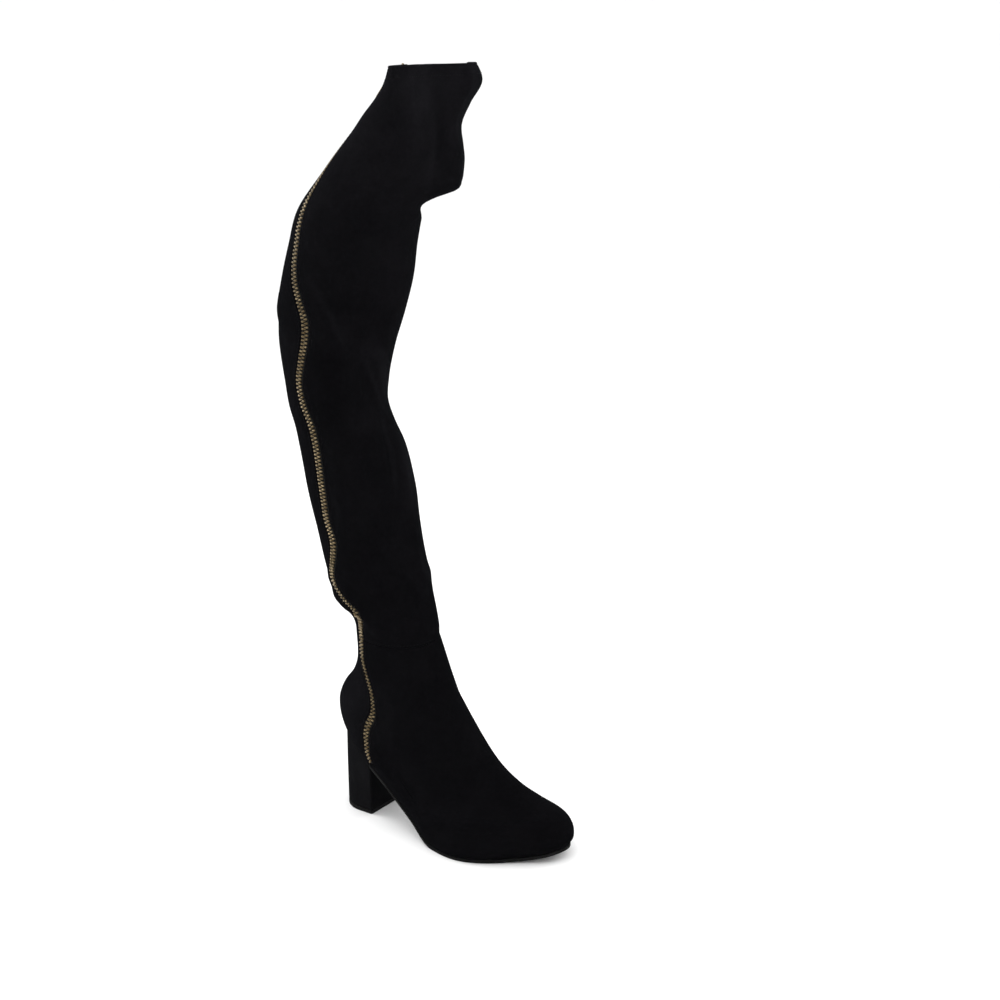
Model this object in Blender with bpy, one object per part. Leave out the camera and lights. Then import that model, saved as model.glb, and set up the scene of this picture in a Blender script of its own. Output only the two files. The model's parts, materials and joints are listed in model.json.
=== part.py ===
"""Over-the-knee boot for the right foot, EU 38, on a 78 mm block heel.

Frame: +X points to the toe, +Y to the inner (medial) side of the right foot, +Z up.
The upper is lofted over the sections of the last and of the slack shaft. Every surface is
worked out in millimetres and turned to metres when its mesh is made. An angle around the
boot starts at the heel's back seam and runs over the outer side, the toe or shin, and the
inner side. The whole boot hangs under one empty that centres it over the origin.
"""
import math

import bmesh
import bpy
import numpy as np
from mathutils import Matrix, Vector

MM = 0.001
GAP = 0.3                 # clearance between neighbouring pieces
WALL = 1.8                # shell of suede and lining together
FOOT_LENGTH = 240.0       # feather line of the last, heel point to toe point, on the level
HEEL_POINT = 3.0          # feather line's rear end, ahead of the counter's backmost bulge
SEAT_HEIGHT = 78.0        # feather line above the floor at the back of the heel
TOE_SPRING = 13.0         # feather line above the floor at the toe
SOLE_THICKNESS = 3.5
SOLE_PROUD = 0.6          # sole edge outside the feather line
INSOLE_THICKNESS = 2.2
ANKLE = 173.0             # height of the seam between the foot and the shaft
COLLAR = 664.0            # height of the collar's front
SEAM_TILT = 5.0           # the ankle seam rises to the inner side by this much
ARCH_TWIST = 6.0          # the waist is higher on the inner side by this much
ZIP_WIDTH = 8.0
ZIP_PROUD = 0.6           # teeth outside the shaft's surface

# Feather line seen from the side: (distance from the heel, height)
FEATHER = ((3, 78), (27, 70.5), (50, 60.5), (75, 48.5), (101, 30), (124, 9.8),
           (146, 3.8), (170, 3.5), (200, 4.6), (224, 8), (240, 13))

# Stations along each ring of the foot, as a share of the ring's length
STATIONS = np.array([0.12, 0.42, 0.70, 0.92])
# One ring of the foot a row, from the feather line up to the ankle seam:
# back x, back z, front x, front z, half-width at the four stations (heel, waist, ball, toe),
# sideways bend at waist, ball, toe station and toe point, and how straight the ring has become
RINGS = np.array((
    (3.0, 78, 240.0, 13.0, 29.0, 29.5, 44.5, 21.5, -10.5, -3.4, 5.2, 6, 0.00),
    (0.0, 85, 243.5, 19.5, 31.0, 32.5, 47.5, 24.5, -9.5, -3.4, 6.2, 6, 0.02),
    (-1.5, 92, 241.5, 29.0, 32.0, 34.8, 46.5, 24.8, -8.4, -3.2, 7.2, 7, 0.06),
    (-2.0, 99.5, 233.0, 37.3, 32.0, 35.0, 44.0, 23.0, -6.3, -2.4, 7.2, 8, 0.12),
    (-1.0, 109, 215.5, 41.3, 31.0, 35.0, 41.0, 22.8, -4.2, -0.6, 6.6, 8, 0.22),
    (4.5, 120, 191.5, 48.3, 29.0, 33.8, 37.5, 22.4, -3, 0.5, 5.5, 7, 0.34),
    (14.5, 132, 166.2, 62.5, 26.0, 32.0, 33.5, 22.0, -2, 0.3, 4.2, 6, 0.48),
    (20.0, 145, 145.0, 87.5, 22.0, 30.0, 29.5, 20.0, -1, -0.2, 2.6, 3.5, 0.64),
    (20.8, 158, 124.0, 124.0, 18.5, 26.5, 26.0, 17.0, 0, -0.5, 1, 1, 0.82),
    (19.6, 171, 106.5, 175.0, 16.0, 24.5, 23.5, 14.5, 0, 0, 0, 0, 1.00)))
TOP_RING = len(RINGS) - 1

# One section of the slack shaft a row: height, centre x, centre y, half-length along its
# turned axis, half-width across it, and the axis's turn in degrees towards the inner side
SECTIONS = np.array((
    (173, 61.0, 0.0, 42.0, 25.5, 0),
    (188, 57.0, -0.5, 43.0, 28.0, 8),
    (203, 51.2, -1.5, 45.4, 30.5, 20),
    (220, 49.2, -2.5, 45.0, 33.0, 30),
    (245, 44.2, -3.5, 45.0, 35.5, 37),
    (275, 39.8, -4.8, 45.5, 39.0, 37),
    (310, 34.4, -5.8, 47.5, 43.0, 37),
    (345, 26.8, -7.2, 46.0, 46.5, 37),
    (362, 21.0, -8.4, 43.5, 47.5, 37),
    (380, 14.8, -9.0, 43.0, 49.0, 37),
    (402, 14.6, -9.2, 45.0, 50.5, 37),
    (430, 17.6, -9.0, 49.3, 51.5, 37),
    (460, 23.2, -7.8, 54.4, 52.0, 37),
    (490, 31.0, -6.6, 56.0, 52.5, 37),
    (520, 38.0, -5.6, 54.5, 55.0, 37),
    (550, 46.6, -3.2, 53.0, 57.5, 37),
    (575, 61.4, 0.0, 48.0, 60.0, 37),
    (600, 77.4, 2.4, 41.0, 62.0, 32),
    (625, 90.0, 4.2, 29.5, 63.5, 23),
    (650, 102.0, 6.8, 16.0, 62.0, 20),
    (675, 109.0, 9.0, 14.5, 58.0, 19)), float)
# Slack fold that bags out of the thigh's front inner side: (height, how far it stands out)
BAG = ((538, 0), (552, 0), (557, 9), (562, 21), (570, 24), (584, 22.5), (600, 17.5), (614, 15),
       (632, 19), (651, 24.5), (668, 18))
BAG_TURN = 40.0           # middle of the fold, turned from +X to the inner side
BAG_SPREAD = 56.0         # reach of the fold to either side of its middle
BAG_LEAN = 37.0           # way in which the fold stands out, turned from +X to the inner side

# Lines that run up the boot, in degrees around it. On the foot a row's level is its ring.
# level, outer zip, inner zip
FOOT_LINES = ((0, 60, 300), (1.5, 58.5, 300), (3.5, 60, 299), (5, 62.5, 298), (6.4, 65.5, 297),
              (7, 63, 296), (7.5, 56.5, 295), (8.1, 50, 294), (9, 53, 292))
# On the shaft it is the height. Angles count from the back line.
SHAFT_LINES = ((173, 54, 292), (181, 56, 290), (193, 68, 289), (205, 82, 288), (214, 73, 287),
               (224, 61, 286), (235, 64, 286), (247, 74, 286), (262, 81, 285), (285, 78, 284),
               (303, 81, 283), (330, 85, 283), (358, 90, 282), (373, 92, 281), (386, 89, 281),
               (404, 86, 280), (425, 92, 279), (445, 98, 278), (461, 98, 277), (476, 92, 277),
               (492, 86, 277), (530, 88, 277), (547, 91, 278), (560, 89, 278), (575, 84, 279),
               (600, 77, 280), (640, 71, 280), (675, 68, 280))
# Twist of the slack shaft's lines: (height, degrees; below 0 the back turns to the inner side)
TWIST = ((173, 0), (440, 0), (460, -2), (477, -5), (505, -11), (527, -17), (549, -24),
         (575, -32), (600, -40), (630, -46), (675, -50))
INNER_ZIP_TOP = 402.0     # level where the inner zip ends at mid-calf
ZIP_FOOT_END = 0.75       # ring where both zips end above the sole
# Stretch panel below the scooped back of the collar: (level, half-width)
PANEL = ((173, 12), (470, 9), (531, 5), (600, 19), (650, 26), (668, 27))
PANEL_TIP = 531.0         # level of the panel's lower end
SCOOP_DEPTH = 108.0       # how far the collar's back lies below its front
SCOOP_START = 430.0       # level from which the rings start to sag into the scoop
SCOOP_FLAT = 29.0         # half-angle of the scoop's flat bottom
SCOOP_REACH = 64.0        # half-angle over which the scoop runs out

FOOT_LEVELS = (0, 0.35, 0.75, 1.1, 1.5, 2, 2.6, 3.3, 4, 4.7, 5.4, 6.1, 6.7,
               7.2, 7.7, 8.2, 8.6, 9)
SHAFT_LEVELS = (173, 181, 190, 199, 207, 214, 222, 231, 242, 257, 275, 296, 319, 342, 362, 382,
                402, 420, 440, 460, 478, 496, 514, 531, 541, 547, 553, 558, 563, 570, 582, 597,
                613, 628, 641, 653, 664)
# Columns between the lines: panel edge to outer zip, the zip, outer side, inner side,
# inner zip, inner zip to panel edge, panel
CELLS = (6, 1, 12, 12, 1, 6, 4)
OUTER_ZIP_CELL = CELLS[0]
INNER_ZIP_CELL = sum(CELLS[:4])
PANEL_CELL = sum(CELLS[:6])
COLUMNS = sum(CELLS)
SOLE_CELLS = 4            # cells across the sole, insole and heel block


# ---- shapes of the last and the shaft --------------------------------------------------------

def through(knots, rows, at):
    """Smooth curve through the rows: cubic Hermite with each slope from its two neighbours."""
    knots, rows = np.asarray(knots, float), np.asarray(rows, float)
    at = np.clip(np.asarray(at, float), knots[0], knots[-1])
    gaps = np.diff(knots).reshape((-1,) + (1,) * (rows.ndim - 1))
    rises = np.diff(rows, axis=0) / gaps
    slopes = np.empty_like(rows)
    slopes[0], slopes[-1] = rises[0], rises[-1]
    slopes[1:-1] = (rises[:-1] * gaps[1:] + rises[1:] * gaps[:-1]) / (gaps[:-1] + gaps[1:])
    left = np.clip(np.searchsorted(knots, at, side="right") - 1, 0, len(knots) - 2)
    step = knots[left + 1] - knots[left]
    share = (at - knots[left]) / step
    extra = (1,) * (rows.ndim - 1)
    share, step = share.reshape(share.shape + extra), step.reshape(step.shape + extra)
    return (rows[left] * (1 + 2 * share) * (1 - share) ** 2
            + slopes[left] * step * share * (1 - share) ** 2
            + rows[left + 1] * share ** 2 * (3 - 2 * share)
            - slopes[left + 1] * step * share ** 2 * (1 - share))


def across(knots, columns, at):
    """The same smooth curve, where each point has its own row of values in columns."""
    knots = np.asarray(knots, float)
    at = np.clip(at, knots[0], knots[-1])
    gaps = np.diff(knots)
    rises = np.diff(columns, axis=-1) / gaps
    slopes = np.concatenate((
        rises[..., :1],
        (rises[..., :-1] * gaps[1:] + rises[..., 1:] * gaps[:-1]) / (gaps[:-1] + gaps[1:]),
        rises[..., -1:]), axis=-1)
    left = np.clip(np.searchsorted(knots, at, side="right") - 1, 0, len(knots) - 2)

    def pick(values, index):
        return np.take_along_axis(values, index[..., None], axis=-1)[..., 0]

    step = gaps[left]
    share = (at - knots[left]) / step
    return (pick(columns, left) * (1 + 2 * share) * (1 - share) ** 2
            + pick(slopes, left) * step * share * (1 - share) ** 2
            + pick(columns, left + 1) * share ** 2 * (3 - 2 * share)
            - pick(slopes, left + 1) * step * share ** 2 * (1 - share))


def ease(start, end, value):
    """0 before start, 1 after end, and a smooth S between them."""
    share = np.clip((value - start) / (end - start), 0, 1)
    return share * share * (3 - 2 * share)


def waist_twist(x, y):
    """Extra height of the sole at the waist: up on the inner side, down on the outer side."""
    near_waist = np.cos(np.clip((x - 100) / 60, -1, 1) * np.pi / 2) ** 2
    return ARCH_TWIST * np.clip(y / 30, -1.2, 1.2) * near_waist


def seat(x, y):
    """Height of the last's bottom."""
    line = np.array(FEATHER, float)
    return through(line[:, 0], line[:, 1], x) + waist_twist(x, y)


def foot(angle, level):
    """Point of the foot's surface: the rings of the last, egg-shaped in plan."""
    angle, level = np.broadcast_arrays(np.asarray(angle, float), np.asarray(level, float))
    ring = through(np.arange(len(RINGS)), RINGS, level)
    along = (1 - np.cos(angle)) / 2
    fullness = ring[..., 4:8] / np.sqrt(4 * STATIONS * (1 - STATIONS))
    knots = np.concatenate(([0], STATIONS, [1]))
    widths = np.concatenate((fullness[..., :1], fullness, fullness[..., -1:]), axis=-1)
    none = np.zeros_like(ring[..., :1])
    bends = np.concatenate((none, none, ring[..., 8:12]), axis=-1)
    back_x, back_z, front_x, front_z = (ring[..., i] for i in range(4))
    straight = ring[..., 12]
    x = back_x + (front_x - back_x) * along
    y = across(knots, bends, along) - np.sin(angle) * across(knots, widths, along)
    line = np.array(FEATHER, float)
    feather = through(line[:, 0], line[:, 1], HEEL_POINT + along * (FOOT_LENGTH - HEEL_POINT))
    follow = (SEAT_HEIGHT - feather) / (SEAT_HEIGHT - TOE_SPRING)
    z = back_z + (front_z - back_z) * ((1 - straight) * follow + straight * along)
    z = z + waist_twist(x, y) * (1 - straight) ** 2
    z = z + SEAM_TILT * straight ** 3 * np.clip(y / 27, -1, 1)
    return np.stack((x, y, z), axis=-1)


def tube(angle, height):
    """Point of the shaft at a height: an ellipse on a turned axis, plus the bagging fold."""
    section = through(SECTIONS[:, 0], SECTIONS[:, 1:], height)
    centre_x, centre_y, half_long, half_short, turn = (section[..., i] for i in range(5))
    turn = np.radians(turn)
    along = half_long * np.cos(np.pi + angle - turn)
    sideways = half_short * np.sin(np.pi + angle - turn)
    x = centre_x + along * np.cos(turn) - sideways * np.sin(turn)
    y = centre_y + along * np.sin(turn) + sideways * np.cos(turn)
    bag = np.array(BAG, float)
    off_middle = np.pi + angle - math.radians(BAG_TURN)
    off_middle = (off_middle + np.pi) % (2 * np.pi) - np.pi
    window = np.cos(np.clip(off_middle / math.radians(BAG_SPREAD), -1, 1) * np.pi / 2) ** 2
    out = through(bag[:, 0], bag[:, 1], height) * np.minimum(1, 1.3 * window)
    axis = math.radians(BAG_LEAN)
    return np.stack((x + out * math.cos(axis), y + out * math.sin(axis), height + 0 * x), axis=-1)


def shaft(angle, level):
    """Point of the shaft's surface: ring shapes of the ankle ease into the tube's sections,
    the lowest rings follow the tilted seam, and the highest sag into the back scoop."""
    angle, level = np.broadcast_arrays(np.asarray(angle, float), np.asarray(level, float))
    seam = foot(angle, float(TOP_RING))
    from_back = np.abs((angle + np.pi) % (2 * np.pi) - np.pi)
    scoop = 1 - ease(math.radians(SCOOP_FLAT), math.radians(SCOOP_REACH), from_back)
    sag = SCOOP_DEPTH * scoop * (np.maximum(level - SCOOP_START, 0) / (COLLAR - SCOOP_START)) ** 1.25
    height = level + GAP + (seam[..., 2] - ANKLE) * (1 - ease(ANKLE, 260, level)) - sag
    twist = np.array(TWIST, float)
    point = tube(angle + np.radians(through(twist[:, 0], twist[:, 1], height)), height)
    blend = ease(ANKLE, 210, level)[..., None]
    point[..., :2] = seam[..., :2] * (1 - blend) + point[..., :2] * blend
    return point


def outward(surface, angle, level):
    """Unit normal of a surface, from its slopes around and up."""
    step_angle, step_level = 0.004, 0.02
    around = surface(angle + step_angle, level) - surface(angle - step_angle, level)
    up = surface(angle, level + step_level) - surface(angle, level - step_level)
    normal = np.cross(around, up)
    return normal / np.linalg.norm(normal, axis=-1, keepdims=True)


def speed(surface, angle, level):
    """Millimetres along the surface for one radian around it."""
    step = 0.01
    move = surface(angle + step, level) - surface(angle - step, level)
    return np.linalg.norm(move, axis=-1) / (2 * step)


# ---- lines and columns -----------------------------------------------------------------------

def lines_at(surface, level, slack=0.0):
    """Angles of the column lines on one ring: panel edge, outer zip, front, inner zip, panel
    edge, and the first again a turn later. slack draws panel and zip edges in by that much."""
    table = np.array(FOOT_LINES if surface is foot else SHAFT_LINES, float)
    outer, inner = (math.radians(through(table[:, 0], table[:, i], level)) for i in (1, 2))
    panel = np.array(PANEL, float)
    panel_half, inner_half = panel[0, 1], ZIP_WIDTH / 2
    if surface is shaft:
        panel_half = np.interp(level, panel[:, 0], panel[:, 1])
        inner_half += 10 * ease(INNER_ZIP_TOP, 450, level)
    zip_turn = (ZIP_WIDTH / 2 + GAP - slack) / speed(surface, outer, level)
    inner_turn = (inner_half + GAP - slack) / speed(surface, inner, level)
    panel_turn = (panel_half - slack) / speed(surface, 0.0, level)
    return np.array((panel_turn, outer - zip_turn, outer + zip_turn, math.pi,
                     inner - inner_turn, inner + inner_turn, 2 * math.pi - panel_turn,
                     2 * math.pi + panel_turn))


def column_angles(surface, level):
    """Angle of every column on one ring, evenly spaced between the lines."""
    knots = np.concatenate(([0], np.cumsum(CELLS)))
    return np.interp(np.arange(COLUMNS), knots, lines_at(surface, level))


def grid(surface, levels):
    """Outer and inner points of the wall, as arrays (level, column, xyz)."""
    angles = np.array([column_angles(surface, level) for level in levels])
    heights = np.broadcast_to(np.array(levels, float)[:, None], angles.shape)
    outer = surface(angles, heights)
    return outer, outer - WALL * outward(surface, angles, heights)


# ---- meshes ----------------------------------------------------------------------------------

def material(name, colour, roughness, metallic=0.0):
    """Principled material."""
    made = bpy.data.materials.new(name)
    made.use_nodes = True
    shader = made.node_tree.nodes["Principled BSDF"]
    shader.inputs["Base Color"].default_value = (*colour, 1.0)
    shader.inputs["Roughness"].default_value = roughness
    shader.inputs["Metallic"].default_value = metallic
    return made


def add_object(name, mesh, finish):
    """Object of the boot, under the empty that centres it."""
    made = bpy.data.objects.new(name, mesh)
    boot.objects.link(made)
    made.parent = centre
    made.data.materials.clear()
    made.data.materials.append(finish)
    return made


def mesh_of(name, points, faces):
    """Closed mesh from points in millimetres, doubled points merged."""
    mesh = bpy.data.meshes.new(name)
    mesh.from_pydata([tuple(p) for p in np.asarray(points) * MM], [], faces)
    work = bmesh.new()
    work.from_mesh(mesh)
    bmesh.ops.remove_doubles(work, verts=work.verts, dist=1e-6)
    bmesh.ops.dissolve_degenerate(work, edges=work.edges, dist=1e-7)
    bmesh.ops.triangulate(work, faces=work.faces)
    bmesh.ops.recalc_face_normals(work, faces=work.faces)
    work.to_mesh(mesh)
    work.free()
    mesh.shade_smooth()
    mesh.set_sharp_from_angle(angle=math.radians(40))
    return mesh


def wall_mesh(name, outer, inner, present, closed):
    """Solid wall between two grids, only where a cell is present, with a rim at every edge."""
    rows, columns = outer.shape[:2]
    points = np.concatenate((outer.reshape(-1, 3), inner.reshape(-1, 3)))
    inside = rows * columns

    def corner(row, column):
        return row * columns + column % columns

    def filled(row, column):
        if closed:
            column %= columns
        return 0 <= row < present.shape[0] and 0 <= column < present.shape[1] and present[row, column]

    faces = []
    for row, column in zip(*np.nonzero(present)):
        row, column = int(row), int(column)
        a, b = corner(row, column), corner(row, column + 1)
        c, d = corner(row + 1, column + 1), corner(row + 1, column)
        if np.linalg.norm(points[a] - points[c]) < np.linalg.norm(points[b] - points[d]):
            halves = ((a, b, c), (a, c, d))
        else:
            halves = ((a, b, d), (b, c, d))
        for half in halves:
            faces.append(half)
            faces.append(tuple(i + inside for i in reversed(half)))
        edges = (((row - 1, column), a, b), ((row, column + 1), b, c),
                 ((row + 1, column), c, d), ((row, column - 1), d, a))
        for neighbour, start, end in edges:
            if not filled(*neighbour):
                faces.append((end, start, start + inside, end + inside))
    used = sorted({i for face in faces for i in face})
    place = {old: new for new, old in enumerate(used)}
    return mesh_of(name, points[used], [tuple(place[i] for i in face) for face in faces])


def slab_mesh(name, top, bottom):
    """Solid between two grids that share their layout."""
    cells = np.ones((top.shape[0] - 1, top.shape[1] - 1), bool)
    return wall_mesh(name, top, bottom, cells, closed=False)


def strip_mesh(name, left, right, normal, profile):
    """Bar along two edge lines. profile rows are (share from left to right, height)."""
    rings = np.array([left * (1 - share) + right * share + height * normal
                      for share, height in profile])
    rings = rings.transpose(1, 0, 2)
    rows, sides = rings.shape[:2]
    faces = [(r * sides + s, r * sides + (s + 1) % sides, (r + 1) * sides + (s + 1) % sides,
              (r + 1) * sides + s) for r in range(rows - 1) for s in range(sides)]
    faces.append(tuple(range(sides)))
    faces.append(tuple((rows - 1) * sides + s for s in reversed(range(sides))))
    return mesh_of(name, rings.reshape(-1, 3), faces)


# ---- upper -----------------------------------------------------------------------------------

def make_upper_foot():
    """Lasted foot of the boot: open underneath and at the ankle, slit for both zips."""
    outer, inner = grid(foot, FOOT_LEVELS)
    present = np.ones((len(FOOT_LEVELS) - 1, COLUMNS), bool)
    above_end = np.array(FOOT_LEVELS[:-1]) >= ZIP_FOOT_END
    present[above_end, OUTER_ZIP_CELL] = False
    present[above_end, INNER_ZIP_CELL] = False
    return add_object("upper_foot", wall_mesh("upper_foot", outer, inner, present, True), suede)


def make_upper_shaft():
    """Slack shaft from the ankle seam to the collar, slit for both zips and the stretch panel."""
    outer, inner = grid(shaft, SHAFT_LEVELS)
    levels = np.array(SHAFT_LEVELS[:-1])
    present = np.ones((len(levels), COLUMNS), bool)
    present[:, OUTER_ZIP_CELL] = False
    present[levels < INNER_ZIP_TOP, INNER_ZIP_CELL] = False
    present[levels >= PANEL_TIP, PANEL_CELL:] = False
    return add_object("upper_shaft", wall_mesh("upper_shaft", outer, inner, present, True), suede)


def make_back_panel():
    """Wedge of stretch suede below the scooped back, between the shaft's two cut edges."""
    levels = [level for level in SHAFT_LEVELS if level >= PANEL_TIP]
    levels[0] += 2 * GAP
    angles = []
    for level in levels:
        edges = lines_at(shaft, level)
        inset = GAP / speed(shaft, edges[0], level)
        angles.append(np.linspace(edges[6] + inset, edges[7] - inset, CELLS[6] + 1))
    angles = np.array(angles)
    heights = np.broadcast_to(np.array(levels, float)[:, None], angles.shape)
    outer = shaft(angles, heights)
    inner = outer - WALL * outward(shaft, angles, heights)
    return add_object("back_stretch_panel", slab_mesh("back_stretch_panel", outer, inner), stretch)


# ---- sole and heel ---------------------------------------------------------------------------

def feather_point(angle, grow):
    """Plan point of the feather line, moved out by grow."""
    step = 0.002
    here = foot(angle, 0.0)[..., :2]
    along = foot(angle + step, 0.0)[..., :2] - foot(angle - step, 0.0)[..., :2]
    along = along / np.linalg.norm(along, axis=-1, keepdims=True)
    return here + grow * np.stack((along[..., 1], -along[..., 0]), axis=-1)


def half_columns(start, end):
    """Angles of the foot's lowest columns on one half, between start and end, and those two.
    The feather line's columns mirror each other, so each angle serves both edges."""
    angles = np.unique(np.round(column_angles(foot, 0) % (2 * np.pi), 6))
    margin = 0.03
    return np.array([start, *angles[(angles > start + margin) & (angles < end - margin)], end])


def sole_plan(start, end, grow):
    """Plan grid over the last's bottom between two half-turn angles, outer edge to inner."""
    angle = half_columns(start, end)
    outer_edge = feather_point(angle, grow)
    inner_edge = feather_point(2 * np.pi - angle, grow)
    share = np.linspace(0, 1, SOLE_CELLS + 1)[None, :, None]
    return outer_edge[:, None] * (1 - share) + inner_edge[:, None] * share


def with_height(plan, height):
    return np.concatenate((plan, height[..., None]), axis=-1)


BREAST_TOP = 54.0         # heel block's front face where it meets the sole
BREAST_FLOOR = 45.0       # and at the floor
HEEL_BACK = 3.3           # heel block's back at the floor
HEEL_HALF = 25.5          # half-width of the block at the floor
LIFT_THICKNESS = 4.0


def breast_angle(x):
    """Angle around the feather line at which it passes this distance from the heel."""
    return math.acos(1 - 2 * (x - HEEL_POINT) / (FOOT_LENGTH - HEEL_POINT))


def make_outsole():
    """Thin sole from the heel's breast to the toe, flat on the floor under the ball."""
    plan = sole_plan(breast_angle(BREAST_TOP + 2 * GAP), math.pi, SOLE_PROUD)
    top = seat(plan[..., 0], plan[..., 1]) - GAP
    under = np.maximum(top - SOLE_THICKNESS, 0)
    mesh = slab_mesh("outsole", with_height(plan, top), with_height(plan, under))
    return add_object("outsole", mesh, sole_rubber)


def make_insole():
    """Sock and board inside the foot, on the sole and the heel seat."""
    plan = sole_plan(0, math.pi, -(WALL + 2 * GAP))
    under = seat(plan[..., 0], plan[..., 1]) + 2 * GAP
    mesh = slab_mesh("insole", with_height(plan, under + INSOLE_THICKNESS), with_height(plan, under))
    return add_object("insole", mesh, lining)


def heel_section(height):
    """Heel block's plan at a height above the floor: D-shaped below, feather line on top."""
    angle = half_columns(0, breast_angle(BREAST_TOP))
    upper_plan = sole_plan(0, breast_angle(BREAST_TOP), -0.2)
    reach = (foot(angle, 0.0)[:, 0] - HEEL_POINT) / (BREAST_TOP - HEEL_POINT)
    x = HEEL_BACK + (BREAST_FLOOR - HEEL_BACK) * reach
    round_back = np.clip((x - HEEL_BACK) / HEEL_HALF, 0, 1)
    half = HEEL_HALF * np.sqrt(1 - (1 - round_back) ** 2)
    share = np.linspace(-1, 1, upper_plan.shape[1])
    lower_plan = np.stack((np.broadcast_to(x[:, None], upper_plan.shape[:2]),
                           half[:, None] * share), axis=-1)
    rise = np.clip(height / (SEAT_HEIGHT - 12), 0, 1)
    return lower_plan * (1 - rise) + upper_plan * rise


def make_heel():
    """Suede-covered block under the heel seat, and the thin lift that it stands on."""
    low_plan, top_plan = heel_section(LIFT_THICKNESS + GAP), heel_section(SEAT_HEIGHT)
    top = with_height(top_plan, seat(top_plan[..., 0], top_plan[..., 1]) - GAP)
    bottom = with_height(low_plan, np.full(low_plan.shape[:2], LIFT_THICKNESS + GAP))
    block = add_object("heel_block", slab_mesh("heel_block", top, bottom), suede)
    floor_plan, lift_plan = heel_section(0), heel_section(LIFT_THICKNESS)
    lift_top = with_height(lift_plan, np.full(lift_plan.shape[:2], LIFT_THICKNESS))
    lift_floor = with_height(floor_plan, np.zeros(floor_plan.shape[:2]))
    lift = add_object("heel_lift", slab_mesh("heel_lift", lift_top, lift_floor), sole_rubber)
    return block, lift


# ---- zips ------------------------------------------------------------------------------------

# Section of a zip's chain in its slit: (share of the width, height from the surface)
CHAIN_SLACK = 1.6 * GAP    # draws the edges in, so that the chain clears the cells beside it
CHAIN_PROFILE = ((0, -WALL), (0, 0.0), (0.2, ZIP_PROUD), (0.8, ZIP_PROUD), (1, 0.0), (1, -WALL))


def chain_edges(cell, foot_levels, shaft_levels):
    """Edge lines and normals of a zip's chain, up the foot and the shaft."""
    left, right, normals = [], [], []
    for surface, levels in ((foot, foot_levels), (shaft, shaft_levels)):
        for level in levels:
            edges = lines_at(surface, level, slack=CHAIN_SLACK)
            first, second = edges[cell], edges[cell + 1]
            left.append(surface(first, level))
            right.append(surface(second, level))
            normals.append(outward(surface, (first + second) / 2, level))
    return np.array(left), np.array(right), np.array(normals)


def make_chain(name, cell, top_level, finish):
    """Closed zip chain: tape and teeth as one bar in the upper's slit."""
    foot_levels = [level for level in FOOT_LEVELS if level >= ZIP_FOOT_END]
    foot_levels[0] += 0.05
    shaft_levels = [level for level in SHAFT_LEVELS if level <= top_level]
    if top_level < COLLAR:
        shaft_levels[-1] -= 0.4
    left, right, normals = chain_edges(cell, foot_levels, shaft_levels)
    return add_object(name, strip_mesh(name, left, right, normals, CHAIN_PROFILE), finish)


SLIDER_WIDTH, SLIDER_LENGTH, SLIDER_THICKNESS = 8.6, 11.0, 2.4
EAR_INSIDE, EAR_THICKNESS, EAR_LENGTH, EAR_HEIGHT = 2.6, 1.2, 4.4, 3.6
PIN_RADIUS, PIN_HEIGHT = 0.8, 2.2
TAB_HALF, TAB_THICKNESS, TAB_LENGTH = 2.25, 1.6, 25.0
TAB_RING, TAB_HOLE = 1.9, 1.15
TAB_CLEAR = 0.6           # hanging tab's clearance over the teeth


def box_mesh(name, low, high):
    """Box between two corners in millimetres, with its scale in the mesh."""
    mesh = bpy.data.meshes.new(name)
    work = bmesh.new()
    low, high = Vector(low), Vector(high)
    size = high - low
    shape = Matrix.Translation((low + high) / 2 * MM) @ Matrix.Diagonal((*(size * MM), 1.0))
    bmesh.ops.create_cube(work, size=1.0, matrix=shape)
    work.to_mesh(mesh)
    work.free()
    return mesh


def pin_mesh(name, radius, length, centre_at, sides=16):
    """Round bar along Y, in millimetres."""
    mesh = bpy.data.meshes.new(name)
    work = bmesh.new()
    shape = Matrix.Translation(Vector(centre_at) * MM) @ Matrix.Rotation(math.pi / 2, 4, "X")
    bmesh.ops.create_cone(work, cap_ends=True, segments=sides, radius1=radius * MM,
                          radius2=radius * MM, depth=length * MM, matrix=shape)
    work.to_mesh(mesh)
    work.free()
    return mesh


def combine(target, tools):
    """Boolean each (mesh, operation) onto the target, in its own frame."""
    for mesh, operation in tools:
        tool = bpy.data.objects.new(mesh.name, mesh)
        cutters.objects.link(tool)
        tool.parent = target
        tool.hide_render = True
        tool.display_type = "WIRE"
        step = target.modifiers.new(mesh.name, "BOOLEAN")
        step.operation = operation
        step.object = tool


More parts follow.
